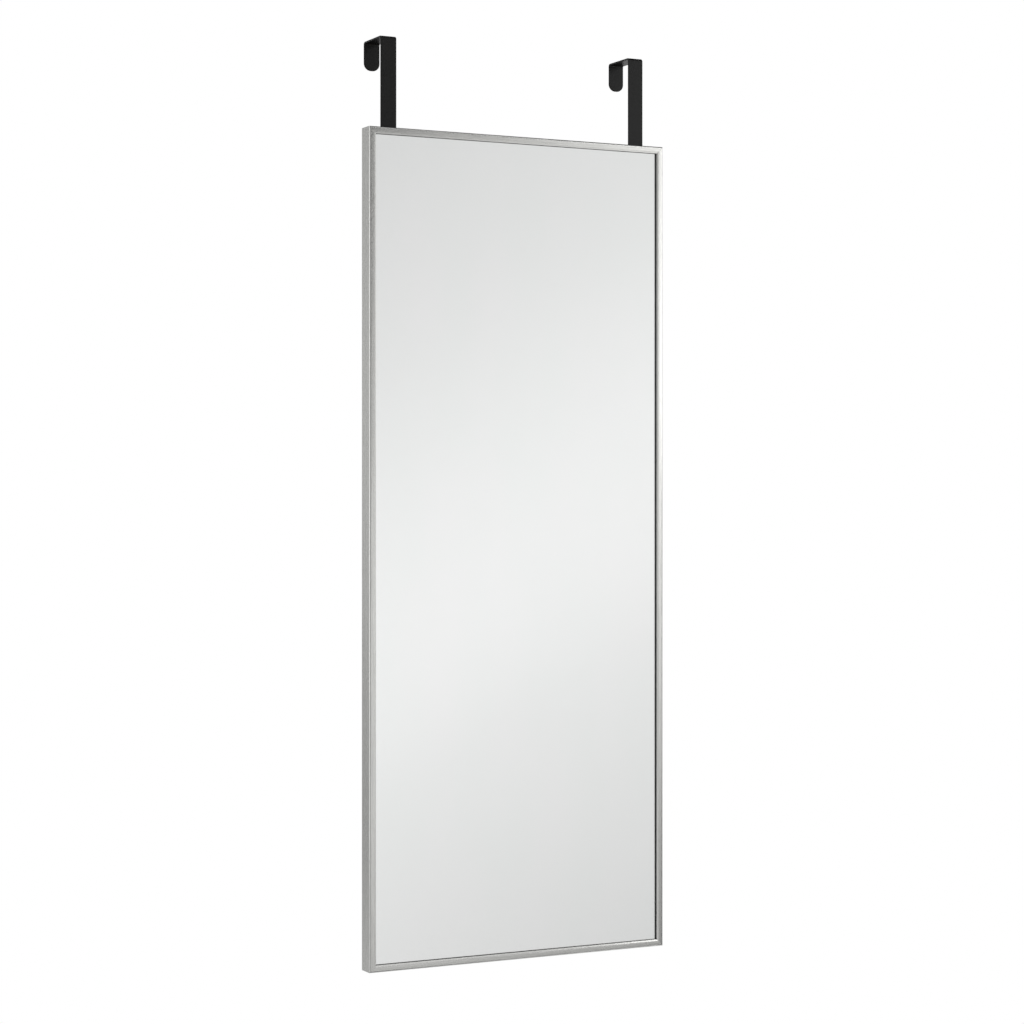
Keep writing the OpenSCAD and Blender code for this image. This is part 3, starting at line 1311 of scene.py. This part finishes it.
@dataclass
class GlassPack:
    """Mirror glass with its silvering, and the sheets behind it."""

    sizes: FrameSizes
    silver: float = 0.03 * MM
    clearance: float = 0.015 * MM
    arris: float = 0.3 * MM

    def sheet(self, name: str, depth: float, thickness: float, arris: float) -> bpy.types.Object:
        """Makes one upright sheet with broken edges.

        Args:
            name: The piece's name.
            depth: Depth of its front face.
            thickness: Its thickness.
            arris: Width of the break along its edges.

        Returns:
            The piece, as a plain mesh.
        """
        s = self.sizes
        half_x, half_z = s.width / 2.0 - s.inset, s.height / 2.0 - s.inset
        near = s.front + depth
        points = [
            (x * half_x, y, s.centre + z * half_z)
            for y in (near, near + thickness)
            for x, z in SQUARE
        ]
        faces = [(0, 1, 2, 3), (7, 6, 5, 4), (0, 4, 5, 1), (1, 5, 6, 2), (2, 6, 7, 3), (3, 7, 4, 0)]
        piece = mesh_piece(name, points, faces)
        soften(piece, arris, 1)
        return settle(piece)

    def build(self, nodes: dict[str, bpy.types.Object]) -> None:
        """Builds the glass, and dresses the film, the liner and the board.

        Args:
            nodes: The frame's nodes by name.
        """
        s = self.sizes
        front = s.lip + s.gasket
        clear = s.glass - self.silver - self.clearance
        pane = self.sheet("mirror_pane", front, clear, self.arris)
        dress(pane, GLASS)
        hand_over(pane, "mirror", "mirror_glass")
        coat = self.sheet("mirror_silvering", front + s.glass - self.silver, self.silver, 0.0)
        dress(coat, SILVERING, MIRROR_PAINT)
        for face in coat.data.polygons:
            face.material_index = 0 if face.normal.y < -0.5 else 1
        hand_over(coat, "mirror")
        for name, finish in (
            ("safety_film", SAFETY_FILM), ("foam_liner", CELL_FOAM), ("backing_board", BOARD)
        ):
            dress(nodes[name], finish)
            LOG.info("%s: kept, with a new finish", name)


@dataclass
class DoorHook:
    """Flat steel bent twice over the door, with a round end on its tab."""

    side: int
    place: float = 169 * MM
    width: float = 20.5 * MM
    thickness: float = 2 * MM
    strap_back: float = -10 * MM
    foot: float = -121.4 * MM
    gap: float = 47.5 * MM
    tab: float = 34.5 * MM
    tab_radius: float = 9 * MM
    bend: float = 1.5 * MM
    edge_radius: float = 0.75 * MM
    foot_radius: float = 1.2 * MM
    hole_radius: float = 2.15 * MM
    hole_place: float = 6 * MM
    hole_height: float = -116 * MM
    foot_steps: int = 4
    strap_steps: int = 4
    bend_steps: int = 10
    tab_steps: int = 16
    edge_steps: int = 5
    hole_segments: int = 32

    @property
    def middle_radius(self) -> float:
        """Radius of the bends at the middle of the steel."""
        return self.bend + self.thickness / 2.0

    def runs(self) -> tuple[float, float, float, float, float]:
        """Lengths of the hook's runs, along the middle of the steel.

        Returns:
            Those of the strap, the first bend, the bridge, the second bend and the tab.
        """
        bend = self.middle_radius * math.pi / 2.0
        strap = -self.bend - self.foot
        tab = self.tab - self.thickness - self.bend
        return strap, bend, self.gap - 2.0 * self.bend, bend, tab

    def bent(self, along: float, outward: float) -> tuple[float, float]:
        """Carries a place on the flat blank to the bent hook.

        Args:
            along: Distance from the foot, along the middle of the steel.
            outward: Distance out from the middle of the steel.

        Returns:
            Y and Z.
        """
        strap, bend, bridge, _, _ = self.runs()
        near = self.strap_back + self.thickness + self.bend
        far = near + bridge
        radius = self.middle_radius + outward
        if along <= strap:
            return near - radius, self.foot + along
        along -= strap
        if along <= bend:
            angle = along / self.middle_radius
            return near - radius * math.cos(angle), radius * math.sin(angle) - self.bend
        along -= bend
        if along <= bridge:
            return near + along, radius - self.bend
        along -= bridge
        if along <= bend:
            angle = along / self.middle_radius
            return far + radius * math.sin(angle), radius * math.cos(angle) - self.bend
        return far + radius, -self.bend - (along - bend)

    def stations(self) -> list[tuple[float, float, float, float]]:
        """Edge of the flat blank on its right, from the foot to the tip of the tab.

        Returns:
            Distance along, half width, and the edge's outward direction (along, across).
        """
        strap, bend, bridge, _, tab = self.runs()
        half, small = self.width / 2.0, self.foot_radius
        made = [
            (small * (1.0 - cos), half - small * (1.0 - sin), -cos, sin)
            for cos, sin in arc(self.foot_steps, 90.0)
        ]
        straight = [strap * n / self.strap_steps for n in range(1, self.strap_steps)] + [strap]
        curve = (bend, self.bend_steps)
        for length, steps in (curve, (bridge, self.strap_steps), curve):
            begin = straight[-1]
            straight += [begin + length * n / steps for n in range(1, steps + 1)]
        made += [(along, half, 0.0, 1.0) for along in straight]
        corner = self.tab_radius
        centre = straight[-1] + tab - corner
        made += [
            (centre + corner * sin, half - corner * (1.0 - cos), sin, cos)
            for cos, sin in arc(self.tab_steps, 90.0)
        ]
        return [*made, (centre + corner, 0.0, 1.0, 0.0)]

    def layers(self) -> list[tuple[float, float, float]]:
        """Rounding of the edge, from the outer face to the inner one.

        Returns:
            Inset from the edge, distance out from the middle of the steel, and edge measure.
        """
        half, radius = self.thickness / 2.0, self.edge_radius
        upper = [
            (radius * (1.0 - sin), half - radius * (1.0 - cos), sin)
            for cos, sin in arc(self.edge_steps, 90.0)
        ]
        return upper + [(inset, -out, edge) for inset, out, edge in reversed(upper)]

    def blank(self) -> bpy.types.Object:
        """Makes the bent steel, before its holes.

        Returns:
            The piece, with its "edge" measure.
        """
        stations, layers = self.stations(), self.layers()
        count = len(stations)
        loop = [(n, 1.0) for n in range(count)] + [(n, -1.0) for n in range(count - 2, -1, -1)]
        points, edges = [], []
        for inset, out, edge in layers:
            for number, sign in loop:
                along, across, n_along, n_across = stations[number]
                y, z = self.bent(along - inset * n_along, out)
                x = sign * max(0.0, across - inset * n_across)
                points.append((self.side * self.place + x, y, z))
                edges.append(edge)
        ring = len(loop)
        faces: list[Face] = []
        for layer in range(len(layers) - 1):
            low, high = layer * ring, (layer + 1) * ring
            for step in range(ring):
                after = (step + 1) % ring
                faces.append((low + step, high + step, high + after, low + after))
        last = (len(layers) - 1) * ring
        for step in range(count - 2):
            left = ring - 1 - step
            tip = [count - 1] if step == count - 3 else []
            strip = (step, step + 1, *tip, left - 1, left)
            faces.append(strip)
            faces.append(tuple(last + n for n in reversed(strip)))
        piece = mesh_piece("blank", points, faces)
        store_points(piece, "edge", edges)
        return piece

    def build(self) -> None:
        """Builds and hands over the hook."""
        label = "left" if self.side < 0 else "right"
        piece = self.blank()
        piece.name = f"door_hook_{label}"
        radius, reach = self.hole_radius, 3.0 * self.thickness
        drill = [(0.0, -reach), (radius, -reach), (radius, reach), (0.0, reach)]
        points, faces = lathe(drill, self.hole_segments)
        cutters = []
        for sign in (-1.0, 1.0):
            x = self.side * self.place + sign * self.hole_place
            y = self.strap_back + self.thickness / 2.0
            cutters.append(mesh_piece("hole", moved(points, x, y, self.hole_height), faces))
            hole = piece.modifiers.new("hole", "BOOLEAN")
            hole.object, hole.operation, hole.solver = cutters[-1], "DIFFERENCE", "EXACT"
        soften(piece, 0.0)
        settle(piece)
        for cutter in cutters:
            bpy.data.objects.remove(cutter)
        dress(piece, BLACK_COAT)
        hand_over(piece, "black_powder_coat", f"hook_{label}")


@dataclass
class CornerKeys:
    """Die-cast angle blocks in the rear channel, softened copies of the frame's nodes."""

    rounding: float = 0.35 * MM
    flat_deg: float = 1.0

    def build(self, nodes: dict[str, bpy.types.Object]) -> None:
        """Builds and hands over the four keys.

        Args:
            nodes: The frame's nodes by name.
        """
        for place in ("top_left", "top_right", "bottom_left", "bottom_right"):
            node = f"corner_key_{place}"
            shape = bmesh.new()
            shape.from_mesh(nodes[node].data)
            bmesh.ops.remove_doubles(shape, verts=shape.verts, dist=TINY)
            flat = math.radians(self.flat_deg)
            bmesh.ops.dissolve_limit(shape, angle_limit=flat, verts=shape.verts, edges=shape.edges)
            shape.verts.index_update()
            points = [tuple(v.co) for v in shape.verts]
            faces = [tuple(v.index for v in f.verts) for f in shape.faces]
            shape.free()
            key = mesh_piece(f"cast_{node}", points, faces)
            soften(key, self.rounding)
            settle(key)
            dress(key, DIE_CAST)
            hand_over(key, "key_metal", node)


@dataclass
class SetScrews:
    """Headless screws with a cone point and a hexagon socket, two to each arm of a key."""

    sizes: FrameSizes
    recipe: NodeRecipe
    radius: float = 2 * MM
    length: float = 7 * MM
    tip: float = 0.6 * MM
    socket_flats: float = 2 * MM
    socket_depth: float = 2.5 * MM
    thread_pitch: float = 0.7 * MM
    thread_depth: float = 0.35 * MM
    rim: float = 0.6 * MM
    segments: int = 24
    arm_places: tuple[float, float] = (25 * MM, 37 * MM)

    def profile(self) -> list[tuple[float, float]]:
        """Section of the screw from its point to the rim of its socket.

        Returns:
            (radius, height) of each point.
        """
        pitch, root = self.thread_pitch, self.radius - self.thread_depth
        crest_end = self.length - self.thread_depth
        made = [(0.0, 0.0), (root - self.tip, 0.0), (root, self.tip)]
        for turn in range(int((crest_end - self.tip) / pitch)):
            start = self.tip + turn * pitch
            made += [(self.radius, start + pitch / 2.0), (root, start + pitch)]
        mouth = self.radius - self.rim
        return [*made, (self.radius, crest_end), (root, self.length), (mouth, self.length)]

    def socket(self, depth: float) -> list[Triple]:
        """Draws the socket's hexagon, with as many points as the screw's other rings.

        Args:
            depth: Distance down from the screw's flat end.

        Returns:
            Its points round the screw's axis.
        """
        sixth, made = math.pi / 3.0, []
        for step in range(self.segments):
            angle = 2.0 * math.pi * step / self.segments
            folded = (angle + sixth / 2.0) % sixth - sixth / 2.0
            wide = self.socket_flats / 2.0 / math.cos(folded)
            made.append((wide * math.cos(angle), self.length - depth, wide * math.sin(angle)))
        return made

    def screw(self, name: str) -> bpy.types.Object:
        """Makes one screw along +Y with its point at the origin.

        Args:
            name: The piece's name.

        Returns:
            The piece.
        """
        count = self.segments
        points, faces = lathe([*self.profile(), (0.0, self.length)], count)
        top = len(points) - 1
        faces = [face for face in faces if top not in face]
        points = [*points[:top], *self.socket(0.0), *self.socket(self.socket_depth)]
        lips, mouth, floor = (
            range(top + count * ring, top + count * (ring + 1)) for ring in (-1, 0, 1)
        )
        for step in range(count):
            after = (step + 1) % count
            faces.append((lips[step], mouth[step], mouth[after], lips[after]))
            faces.append((mouth[step], floor[step], floor[after], mouth[after]))
        faces.append(tuple(reversed(floor)))
        return mesh_piece(name, points, faces)

    def places(self, on_hooks: bool) -> list[Triple]:
        """Where the screws' points stand.

        Args:
            on_hooks: Whether to give the screws that pass through the hooks, or the others.

        Returns:
            Places on the channel's floor.
        """
        s = self.sizes
        y, inward = s.front + s.channel_floor, s.channel / 2.0
        made = []
        for right in (-1.0, 1.0):
            for up in (-1.0, 1.0):
                x, z = right * s.width / 2.0, s.centre + up * s.height / 2.0
                for along in self.arm_places:
                    level = (x - right * along, y, z - up * inward)
                    upright = (x - right * inward, y, z - up * along)
                    through_hook = up > 0.0
                    if through_hook == on_hooks:
                        made.append(level)
                    if not on_hooks:
                        made.append(upright)
        return made

    def build(self) -> None:
        """Builds and hands over both sets."""
        for name, node, on_hooks, seed in (
            ("set_screws_corner", "corner_set_screws", False, 3),
            ("set_screws_hook", "hook_set_screws", True, 7),
        ):
            spots = self.places(on_hooks)
            screws = self.screw(name)
            places = Places(self.recipe, spots, [0.0] * len(spots), math.pi, seed)
            places.fill_with(screws, BLACK_OXIDE, 30.0)
            hand_over(screws, "screw_steel", node)


@dataclass
class LeafSprings:
    """Bowed strips that press the glass pack forward, eight in all."""

    sizes: FrameSizes
    strip_recipe: NodeRecipe
    place_recipe: NodeRecipe
    length: float = 50 * MM
    width: float = 9 * MM
    thickness: float = 0.5 * MM
    edge: float = 0.15 * MM
    slack: float = 0.05 * MM
    rise: float = 3 * MM
    steps: int = 17
    pitch: float = 300 * MM

    def build(self) -> None:
        """Builds and hands over the springs as one piece."""
        s = self.sizes
        half_width, half_thick = self.width / 2.0, self.thickness / 2.0
        corners = [Corner(a * half_width, b * half_thick, self.edge) for a, b in SQUARE]
        springs = section_piece("leaf_spring_strips", rounded_section(corners, 45.0))
        bow = {"Length": self.length, "Rise": self.rise, "Steps": self.steps}
        self.strip_recipe.apply_to(springs, {**bow, "Finish": SPRING_STEEL.material()})
        y = s.front + s.rib_front - self.slack - half_thick
        inward = s.channel / 2.0
        level = [(0.0, y, s.centre + up * (s.height / 2.0 - inward)) for up in (1.0, -1.0)]
        upright = [
            (right * (s.width / 2.0 - inward), y, s.centre + step * self.pitch)
            for right in (-1.0, 1.0)
            for step in (-1, 0, 1)
        ]
        turns = [0.0] * len(level) + [math.pi / 2.0] * len(upright)
        places = Places(self.place_recipe, level + upright, turns)
        places.fill_with(springs, SPRING_STEEL, 50.0)
        hand_over(springs, "spring_steel", "leaf_springs")


@dataclass
class DoorBumpers:
    """Round rubber pads on the frame's back, with a rolled rim and a shallow dish."""

    sizes: FrameSizes
    radius: float = 6 * MM
    thickness: float = 1.5 * MM
    from_end: float = 60 * MM
    foot: float = 0.3 * MM
    foot_knee: float = 0.08 * MM
    roll: float = 0.45 * MM
    dish: float = 0.3 * MM
    raised: tuple[tuple[float, float], ...] = ((1.1 * MM, 0.25 * MM), (2.9 * MM, 0.2 * MM))
    ridge: float = 0.4 * MM
    roll_steps: int = 5
    segments: int = 48

    def profile(self) -> list[tuple[float, float]]:
        """Section of the pad, from its stuck face to its free one.

        Returns:
            (radius, height) of each point.
        """
        r, t, low = self.radius, self.thickness, self.thickness - self.dish
        knee = self.foot_knee
        made = [(0.0, 0.0), (r - self.foot, 0.0), (r - knee, knee), (r, self.foot)]
        made += [
            (r - self.roll * (1.0 - cos), t - self.roll * (1.0 - sin))
            for cos, sin in arc(self.roll_steps, 90.0)
        ]
        (band, slope), (ring, fall) = self.raised
        return [
            *made, (r - band, t), (r - band - slope, low), (r - ring + self.ridge + fall, low),
            (r - ring + self.ridge, t), (r - ring, t), (r - ring - fall, low), (0.0, low),
        ]

    def build(self) -> None:
        """Builds and hands over the four pads."""
        s = self.sizes
        points, faces = lathe(self.profile(), self.segments)
        for up, level in ((1.0, "top"), (-1.0, "bottom")):
            for right, label in ((-1.0, "left"), (1.0, "right")):
                x = right * (s.width - s.channel) / 2.0
                z = s.centre + up * (s.height / 2.0 - self.from_end)
                place = moved(points, x, s.front + s.depth, z)
                pad = mesh_piece(f"door_pad_{level}_{label}", place, faces)
                crease(pad, 40.0)
                dress(pad, PAD_RUBBER)
                hand_over(pad, "bumper_rubber", f"bumper_{level}_{label}")


# ---- studio ----


@dataclass(frozen=True)
class PhotoCamera:
    """The camera, as the photograph's vanishing points give it. It stands level."""

    place: Triple = (-1.3712, -2.7084, -0.5454)
    yaw_deg: float = 26.863
    lens_mm: float = 87.135
    sensor_mm: float = 36.0
    shift_up: float = -0.01604
    clip: tuple[float, float] = (0.05, 60.0)

    def build(self) -> None:
        """Puts the camera in the scene."""
        data = bpy.data.cameras.new("photo_camera")
        data.lens, data.sensor_width, data.shift_y = self.lens_mm, self.sensor_mm, self.shift_up
        data.clip_start, data.clip_end = self.clip
        data.dof.use_dof = False
        camera = bpy.data.objects.new("photo_camera", data)
        camera.location = self.place
        camera.rotation_euler = (math.radians(90.0), 0.0, -math.radians(self.yaw_deg))
        bpy.context.scene.collection.objects.link(camera)
        bpy.context.scene.camera = camera


@dataclass(frozen=True)
class FloorPaint(Finish):
    """A pale matt floor that fades out from one radius to another."""

    near: float
    far: float
    dark: float = 0.8
    light: float = 0.84
    rough: tuple[float, float] = (0.6, 0.75)

    def paint(self, graph: NodeGraph, coords: bpy.types.NodeSocket) -> dict[str, Any]:
        """Builds the pattern.

        Args:
            graph: The material's nodes.
            coords: Object coordinates.

        Returns:
            What goes into the shader, by input name.
        """
        distance = graph.vector("LENGTH", graph.vector("MULTIPLY", coords, (1.0, 1.0, 0.0)))
        cloud = graph.noise(coords, 3.0, 3.0)
        return {
            "Base Color": graph.mix(cloud, grey(self.dark), grey(self.light)),
            "Roughness": graph.spread(graph.noise(coords, 40.0, 3.0), *self.rough),
            "Specular IOR Level": 0.2,
            "Alpha": graph.remap(distance, self.near, self.far, 1.0, 0.0),
        }


@dataclass(frozen=True)
class SoftBox:
    """A rectangular studio lamp."""

    name: str
    place: Triple
    target: Triple
    width: float
    height: float
    watts: float

    def build(self) -> None:
        """Puts the lamp in the scene, facing its target."""
        data = bpy.data.lights.new(self.name, "AREA")
        data.shape, data.energy = "RECTANGLE", self.watts
        data.size, data.size_y = self.width, self.height
        lamp = bpy.data.objects.new(self.name, data)
        lamp.location = self.place
        aim = Vector(self.target) - Vector(self.place)
        lamp.rotation_euler = aim.to_track_quat("-Z", "Y").to_euler()
        lamp.visible_camera = False
        lamp.visible_transmission = False
        bpy.context.scene.collection.objects.link(lamp)


@dataclass(frozen=True)
class SkyPatch:
    """A soft-edged light place in the room, as brushed metal sees it, with angles in degrees.

    Azimuth 0 is straight before the mirror and 90 to its right. Elevation 0 is level and 90
    overhead. The light is full inside the heart and gone beyond the rim.
    """

    azimuth: float
    elevation: float
    heart: float
    rim: float
    strength: float

    @property
    def towards(self) -> Triple:
        """The way to the middle of the patch.

        Returns:
            A direction of length 1.
        """
        turn, climb = math.radians(self.azimuth), math.radians(self.elevation)
        level = math.cos(climb)
        return (math.sin(turn) * level, -math.cos(turn) * level, math.sin(climb))


# What the frame's front faces and bevels show in the photograph's view
KEY_LIGHTS = (
    SkyPatch(18, -6, 2, 10, 0.9),
    SkyPatch(24, -18, 2, 10, 0.6),
    SkyPatch(30, 0, 2, 10, 1.8),
    SkyPatch(36, 6, 2, 10, 0.7),
    SkyPatch(36, 18, 2, 10, 2.9),
    SkyPatch(30, 45, 4, 16, 0.9),
    SkyPatch(45, -45, 4, 16, 0.5),
    SkyPatch(60, -45, 4, 16, 1.2),
    SkyPatch(90, 0, 4, 16, 0.5),
)
# What the left side face and the undersides of the hooks show
BACK_LIGHTS = (
    SkyPatch(-105, 15, 6, 24, 0.5),
    SkyPatch(-120, 0, 6, 24, 1.0),
    SkyPatch(-135, 0, 4, 16, 1.2),
    SkyPatch(-150, 15, 6, 24, 0.45),
    SkyPatch(-150, -15, 6, 24, 0.3),
    SkyPatch(-165, -30, 6, 24, 1.1),
    SkyPatch(154, -10, 8, 25, 0.6),
)
# A dim room on all sides, for the views that the photograph doesn't give
ROOM_LIGHTS = (
    SkyPatch(-18, 0, 10, 34, 0.6),
    SkyPatch(-30, -15, 6, 24, 0.2),
    SkyPatch(-10, 55, 10, 34, 0.4),
    SkyPatch(-10, -55, 10, 34, 0.4),
    SkyPatch(85, 0, 10, 38, 0.5),
    SkyPatch(120, -55, 10, 38, 0.5),
    SkyPatch(140, 0, 10, 30, 0.25),
    SkyPatch(-88, -18, 10, 34, 0.4),
    SkyPatch(-120, 55, 10, 34, 0.5),
)


@dataclass
class Studio:
    """The room: floor, the pale surround that the mirror shows, and the lamps.

    Slope, offset and span lay the bands across the room. Window is what the mirror shows to the
    photograph's camera, as the least and the most X and then Z of a direction.
    """

    floor_level: float = -2.04
    floor_radius: float = 3.0
    floor_steps: int = 96
    floor_fade: tuple[float, float] = (0.45, 0.98)
    slope: Triple = (-0.6217, 0.0, 1.0)
    offset: float = 0.3018
    span: float = 0.6
    bands: tuple[tuple[float, float], ...] = (
        (-0.60, 0.45), (-0.40, 0.52), (-0.28, 0.62), (-0.172, 0.70), (-0.066, 0.84),
        (0.0, 0.91), (0.093, 0.82), (0.19, 0.715), (0.3, 0.66), (0.6, 0.6),
    )
    window: tuple[float, float, float, float] = (0.394, 0.506, -0.19, 0.147)
    window_blur: float = 0.03
    room_blur: float = 0.5
    room: float = 0.8
    patches: tuple[SkyPatch, ...] = (*KEY_LIGHTS, *BACK_LIGHTS, *ROOM_LIGHTS)
    lamps: tuple[SoftBox, ...] = (
        SoftBox(
            "lamp_right",
            place=(1.25, -0.95, -0.15),
            target=(0.1, 0.0, -0.4),
            width=0.6,
            height=0.7,
            watts=2.5,
        ),
        SoftBox(
            "lamp_left",
            place=(-1.6, 0.1, -0.5),
            target=(-0.2, 0.1, -0.5),
            width=0.5,
            height=1.4,
            watts=1.2,
        ),
    )
    fill: float = 0.75

    def build(self) -> None:
        """Builds the floor, the surround and the lamps."""
        self.build_floor()
        self.build_surround()
        for lamp in self.lamps:
            lamp.build()
        bpy.context.scene.view_settings.view_transform = "Standard"

    def build_floor(self) -> None:
        """Lays a pale round floor that fades out at its rim."""
        radius, level = self.floor_radius, self.floor_level
        rim = [(radius * x, radius * y, level) for x, y in arc(self.floor_steps, 360.0)[:-1]]
        points = [(0.0, 0.0, level), *rim]
        faces = [(0, 1 + step, 1 + (step + 1) % len(rim)) for step in range(len(rim))]
        floor = mesh_piece("studio_floor", points, faces)
        near, far = self.floor_fade
        dress(floor, FloorPaint("studio_floor", near=near * radius, far=far * radius))
        floor.visible_glossy = False

    def within(
        self, graph: NodeGraph, towards: bpy.types.NodeSocket, blur: float
    ) -> bpy.types.NodeSocket:
        """Marks the part of the room that the mirror shows to the photograph's camera.

        Args:
            graph: The world's nodes.
            towards: The direction that is looked at.
            blur: How softly the mark fades at its sides.

        Returns:
            1 inside, 0 outside.
        """
        axes = graph.axes(towards)
        west, east, low, high = self.window
        inside = graph.remap(axes["Y"], 0.0, -0.1)
        for axis, near, far in ((axes["X"], west, east), (axes["Z"], low, high)):
            rise = graph.remap(axis, near - blur, near)
            fall = graph.remap(axis, far + blur, far)
            inside = graph.times(inside, graph.times(rise, fall))
        return inside

    def banded(self, graph: NodeGraph, towards: bpy.types.NodeSocket) -> bpy.types.NodeSocket:
        """Lays the soft bands of light across the room.

        Args:
            graph: The world's nodes.
            towards: The direction that is looked at.

        Returns:
            Their colour.
        """
        tilt = graph.plus(graph.vector("DOT_PRODUCT", towards, self.slope), self.offset)
        share = graph.math("MULTIPLY_ADD", tilt, 0.5 / self.span, 0.5, clamp=True)
        ramp = graph.add("ShaderNodeValToRGB", {0: share})
        ramp.color_ramp.interpolation = "CARDINAL"
        elements = ramp.color_ramp.elements
        while len(elements) > 1:
            elements.remove(elements[-1])
        for number, (at, tone) in enumerate(self.bands):
            place = 0.5 + 0.5 * at / self.span
            element = elements[0] if number == 0 else elements.new(place)
            element.position, element.color = place, grey(tone)
        return ramp.outputs[0]

    def patched(self, graph: NodeGraph, towards: bpy.types.NodeSocket) -> bpy.types.NodeSocket:
        """Adds up the light patches.

        Args:
            graph: The world's nodes.
            towards: The direction that is looked at.

        Returns:
            Their strength.
        """
        level: Any = 0.0
        for patch in self.patches:
            toward = graph.vector("DOT_PRODUCT", towards, patch.towards)
            rim, heart = math.cos(math.radians(patch.rim)), math.cos(math.radians(patch.heart))
            level = graph.plus(level, graph.remap(toward, rim, heart, 0.0, patch.strength))
        return level

    def build_surround(self) -> None:
        """Sets the world: white to the camera, a pale room in the mirror, lights on the metal."""
        world = bpy.data.worlds.new("studio_surround")
        bpy.context.scene.world = world
        world.use_nodes = True
        world.node_tree.nodes.clear()
        graph = NodeGraph(world.node_tree)
        towards = graph.add("ShaderNodeTexCoord").outputs["Generated"]
        banded, patched = self.banded(graph, towards), self.patched(graph, towards)
        level = graph.blend(self.within(graph, towards, self.window_blur), patched, banded)
        shown = graph.blend(self.within(graph, towards, self.room_blur), self.room, banded)
        ray = graph.add("ShaderNodeLightPath").outputs
        strength = graph.blend(ray["Is Glossy Ray"], self.fill, level)
        strength = graph.blend(ray["Is Transmission Ray"], strength, shown)
        strength = graph.blend(ray["Is Camera Ray"], strength, 1.0)
        light = graph.add("ShaderNodeBackground", {0: grey(1.0), 1: strength})
        graph.add("ShaderNodeOutputWorld", {0: light.outputs[0]})


# ---- the whole ----


def main() -> None:
    """Builds the looks round the frame, in the order that the mirror is put together."""
    logging.basicConfig(level=logging.INFO, format="%(name)s: %(message)s")
    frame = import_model()
    nodes = frame["nodes"]
    sizes = FrameSizes()
    bars, places = mitred_bar_recipe(), scattered_recipe()
    MirrorFrame(sizes, bars).build()
    Gaskets(sizes, bars).build()
    GlassPack(sizes).build(nodes)
    LeafSprings(sizes, bowed_strip_recipe(), places).build()
    CornerKeys().build(nodes)
    SetScrews(sizes, places).build()
    for side in (-1, 1):
        DoorHook(side).build()
    DoorBumpers(sizes).build()
    Studio().build()
    PhotoCamera().build()


if __name__ == "__main__":
    main()
